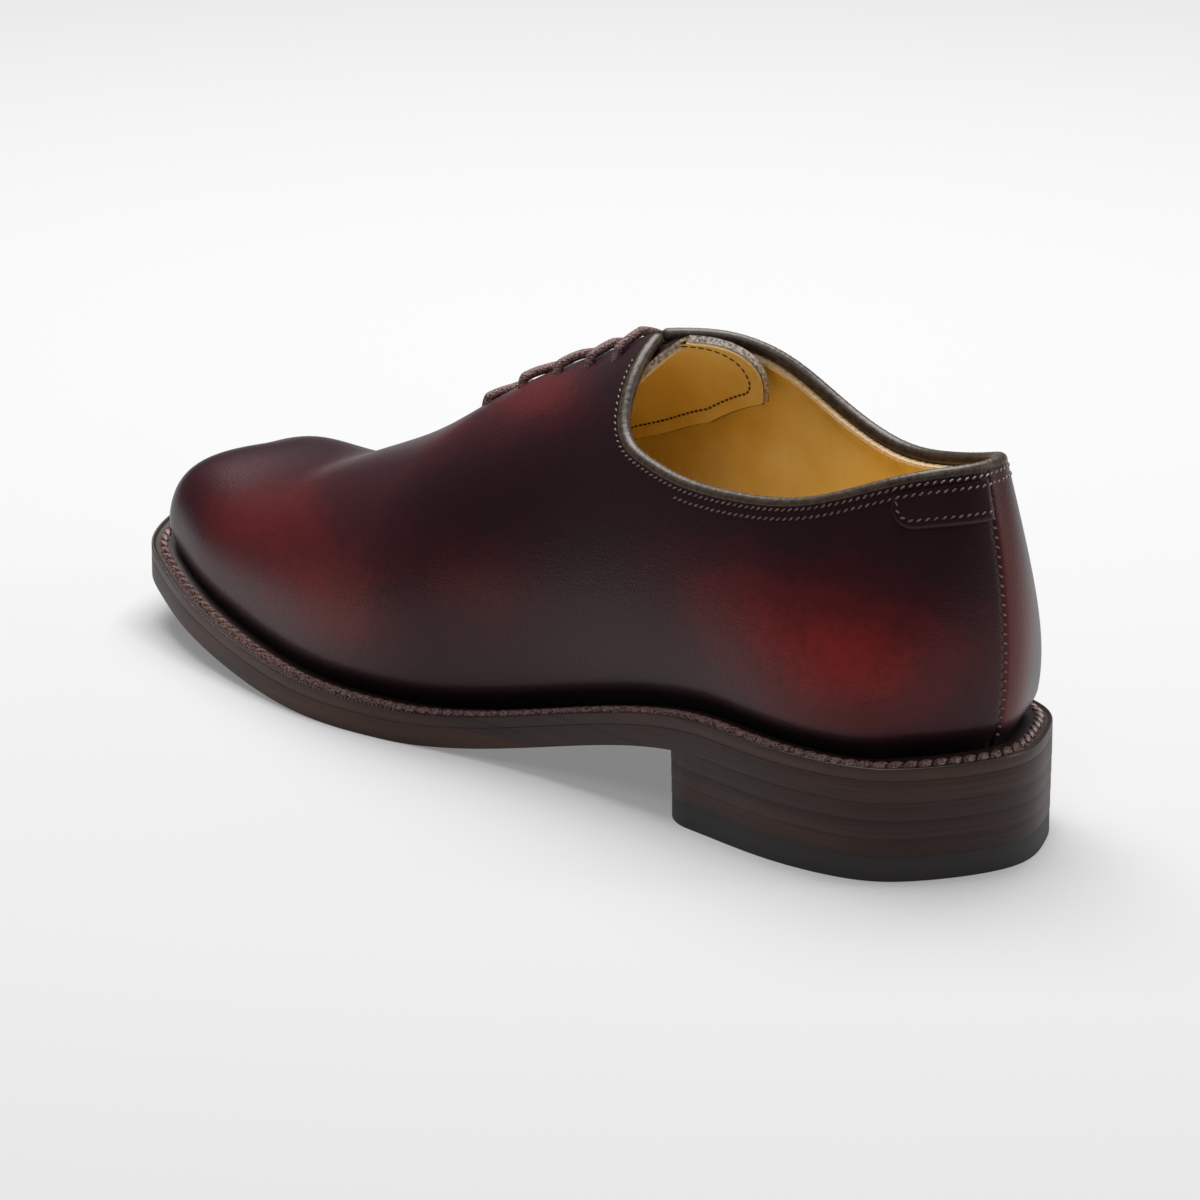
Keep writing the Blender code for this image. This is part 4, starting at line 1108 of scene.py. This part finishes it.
def tongue_surface(along, across):
    """The facings' own surface, sunk by a fixed depth, and beyond the facings' tips carried on
    straight: along is 0 at the sewn end, 1 under the tips, 2 at the free end, across -1 to 1."""
    sewn_row = SLIT_END_ROW + TONGUE_SEWN_ROWS
    row = sewn_row - np.clip(along, 0, 1) * (sewn_row - SLIT_START_ROW)
    width = TONGUE_SEWN_WIDTH + (TONGUE_WIDTH - TONGUE_SEWN_WIDTH) * smoothstep(along)
    medial_reach = TONGUE_MEDIAL_REACH - TONGUE_MEDIAL_TAPER * along
    reach = np.abs(across) * np.where(across > 0, medial_reach, width / 2)
    depth = WALL / 2 + TONGUE_SINK

    def below(u):
        high, top = section_points(u)[2:]
        v = 1 - reach / (3 * np.linalg.norm(top - high, axis=-1))
        return upper_surface(u, v) - depth * upper_normal(u, v)

    lateral, medial = below(row), below(2 * TOE_ROW - row)
    share = ((1 + np.sign(across)) / 2)[..., None]
    points = (1 - share) * lateral + share * medial
    tip, before = crest(float(SLIT_START_ROW)), crest(SLIT_START_ROW + 0.5)
    ahead = unit(tip - before)
    free = np.clip(along - 1, 0, None)[..., None]
    fall = free**2 * TONGUE_DROOP + free * TONGUE_MEDIAL_DROOP * np.clip(across, 0, 1)[..., None] ** 2
    return points + free * TONGUE_FREE_LENGTH * ahead - fall * np.array([0.0, 0.0, 1.0])


def tongue_cut(across):
    """Share of the free length, a smooth curve through the table."""
    places = np.linspace(-1, 1, 81)
    lengths = np.interp(places, TONGUE_CUT_ACROSS, TONGUE_CUT_LENGTH)
    for _ in range(90):
        lengths[1:-1] = (lengths[:-2] + 2 * lengths[1:-1] + lengths[2:]) / 4
    return np.interp(across, places, lengths)


def tongue_grid(along, across):
    """The surface with its free part shortened to the cut, and its normals."""
    outer = tongue_surface(np.minimum(along, 1) + np.clip(along - 1, 0, None) * tongue_cut(across), across)
    normal = unit(np.cross(np.gradient(outer, axis=0), np.gradient(outer, axis=1)))
    return outer, normal * np.sign(normal[..., 2:3])


along, across = np.meshgrid(np.concatenate([np.linspace(0, 1, 40), np.linspace(1, 2, 30)[1:]]),
                            np.linspace(-1, 1, 61), indexing="ij")
outer, normal = tongue_grid(along, across)

# The calf's raw cut edge: grey flesh fibres, scuffed and matt
frayed_edge = mottled_finish(
    "frayed_calf_flesh", "#8f857b", 0.85, 1300.0, 4.0, ((0.35, "#6a6058"), (0.65, "#cfc5ba")), (0.4 * MM, 0.9))
points, faces = sheet_shell(outer - normal * 1.7 * MM, outer)
add_piece("tongue_calf", points, faces, [burnished_calf, frayed_edge], "burnished_calf", "tongue", sharp=50,
          marks=patina_marks(points), worn_by=[0, 1])
under, under_normal = tongue_grid(np.minimum(along, 1.985), across * 0.988)
points, faces = sheet_shell(under - under_normal * TONGUE_THICKNESS, under - under_normal * 1.6 * MM)
add_piece("tongue_lining", points, faces, [lining_leather, raw_edge], "lining_leather", "tongue", sharp=50,
          worn_by=[0, 1])

# A dark row of stitches on the lining's side, a few millimetres inside the edge
TONGUE_STITCH_PITCH = 2.0 * MM
TONGUE_STITCH = (1.7 * MM, 0.6 * MM, 0.22 * MM)
TONGUE_ROW_ACROSS = 0.87
TONGUE_ROW_ALONG = 1.80
turn = np.linspace(0, math.pi / 2, 20)
path_along = np.concatenate([np.linspace(0.15, TONGUE_ROW_ALONG - 0.12, 200),
                             TONGUE_ROW_ALONG - 0.12 + 0.12 * np.sin(turn), np.full(200, TONGUE_ROW_ALONG)])
path_across = np.concatenate([np.full(200, TONGUE_ROW_ACROSS), TONGUE_ROW_ACROSS - 0.1 * (1 - np.cos(turn)),
                              np.linspace(TONGUE_ROW_ACROSS - 0.1, -0.9, 200)])
path_along = np.minimum(path_along, 1) + np.clip(path_along - 1, 0, None) * tongue_cut(path_across)
nudge = 1e-3
line = tongue_surface(path_along, path_across)
turned = np.cross(tongue_surface(path_along + nudge, path_across) - line,
                  tongue_surface(path_along, path_across + nudge) - line)
turned = unit(turned * -np.sign(turned[:, 2:3]))
points, faces = sewn_row(line + turned * (TONGUE_THICKNESS + 0.02 * MM), turned, TONGUE_STITCH_PITCH, TONGUE_STITCH)
dark_thread = mottled_finish("dark_linen_thread", "#331409", 0.6, 2600.0, 2.0, ((0.0, "#1d0c07"), (1.0, "#4d2412")))
add_piece("tongue_stitching", points, faces, [dark_thread], "lining_leather")


# --- Lace
# A round woven cotton lace, waxed, run straight across the facings and down through five pairs of
# punched holes with no metal. Its ends are tied off inside, out of sight.
LACE_DIAMETER = 2.4 * MM
LACE_BARS = 5
LACE_REACH = 18 * MM
LACE_HUMP = 0.05 * MM
LACE_END_ROWS = 0.35
LACE_STEPS = 61
LACE_SIDES = 16
first, last = SLIT_START_ROW + LACE_END_ROWS, SLIT_END_ROW - LACE_END_ROWS

woven_lace, tree, shader = new_finish("waxed_woven_cotton", "#7a5553", 0.6)
place = add_node(tree, "TexCoord")
weave = add_node(tree, "TexVoronoi", {"Vector": place.outputs["Object"], "Scale": 1700.0})
tone = add_node(tree, "ValToRGB", {"Fac": weave.outputs["Distance"]}, stops=((0.0, "#926a64"), (0.8, "#2e1817")))
tree.links.new(tone.outputs["Color"], shader.inputs["Base Color"])
relief = add_node(tree, "Bump", {"Height": weave.outputs["Distance"], "Distance": 0.3 * MM, "Strength": 0.9},
                  invert=True)
tree.links.new(relief.outputs["Normal"], shader.inputs["Normal"])

for n in range(LACE_BARS):
    row = first + (last - first) * n / (LACE_BARS - 1)
    centre = crest(np.array(row))
    near = upper_surface(row, np.linspace(0.80, 1.0, 33))
    far = upper_surface(2 * TOE_ROW - row, np.linspace(1.0, 0.80, 33))
    wall_line = np.concatenate([near, far])
    across = np.linspace(-1, 1, LACE_STEPS)
    x = centre[0] + across * LACE_REACH / 2
    ground = np.interp(x, wall_line[:, 0], wall_line[:, 2])
    # The bar stands its own radius over the leather, and dives at both ends into its hole
    dive = np.clip((np.abs(across) - 0.80) / 0.20, 0, 1)
    z = ground + LACE_DIAMETER / 2 + 0.1 * MM
    z = z + LACE_HUMP * (1 - across**2) - dive**2 * 3.6 * MM
    x = centre[0] + across * LACE_REACH / 2 * (1 - 0.04 * dive)
    path = np.column_stack([x, np.full(LACE_STEPS, centre[1]), z])
    ahead = unit(np.gradient(path, axis=0))
    level = np.tile([0.0, 1.0, 0.0], (LACE_STEPS, 1))
    points, faces = swept_tube(path, level, np.cross(ahead, level), LACE_DIAMETER / 2, LACE_SIDES)
    add_piece(f"lace_bar_{n + 1}_woven", points, faces, [woven_lace], "lace_cord", f"lace_bar_{n + 1}", sharp=60)
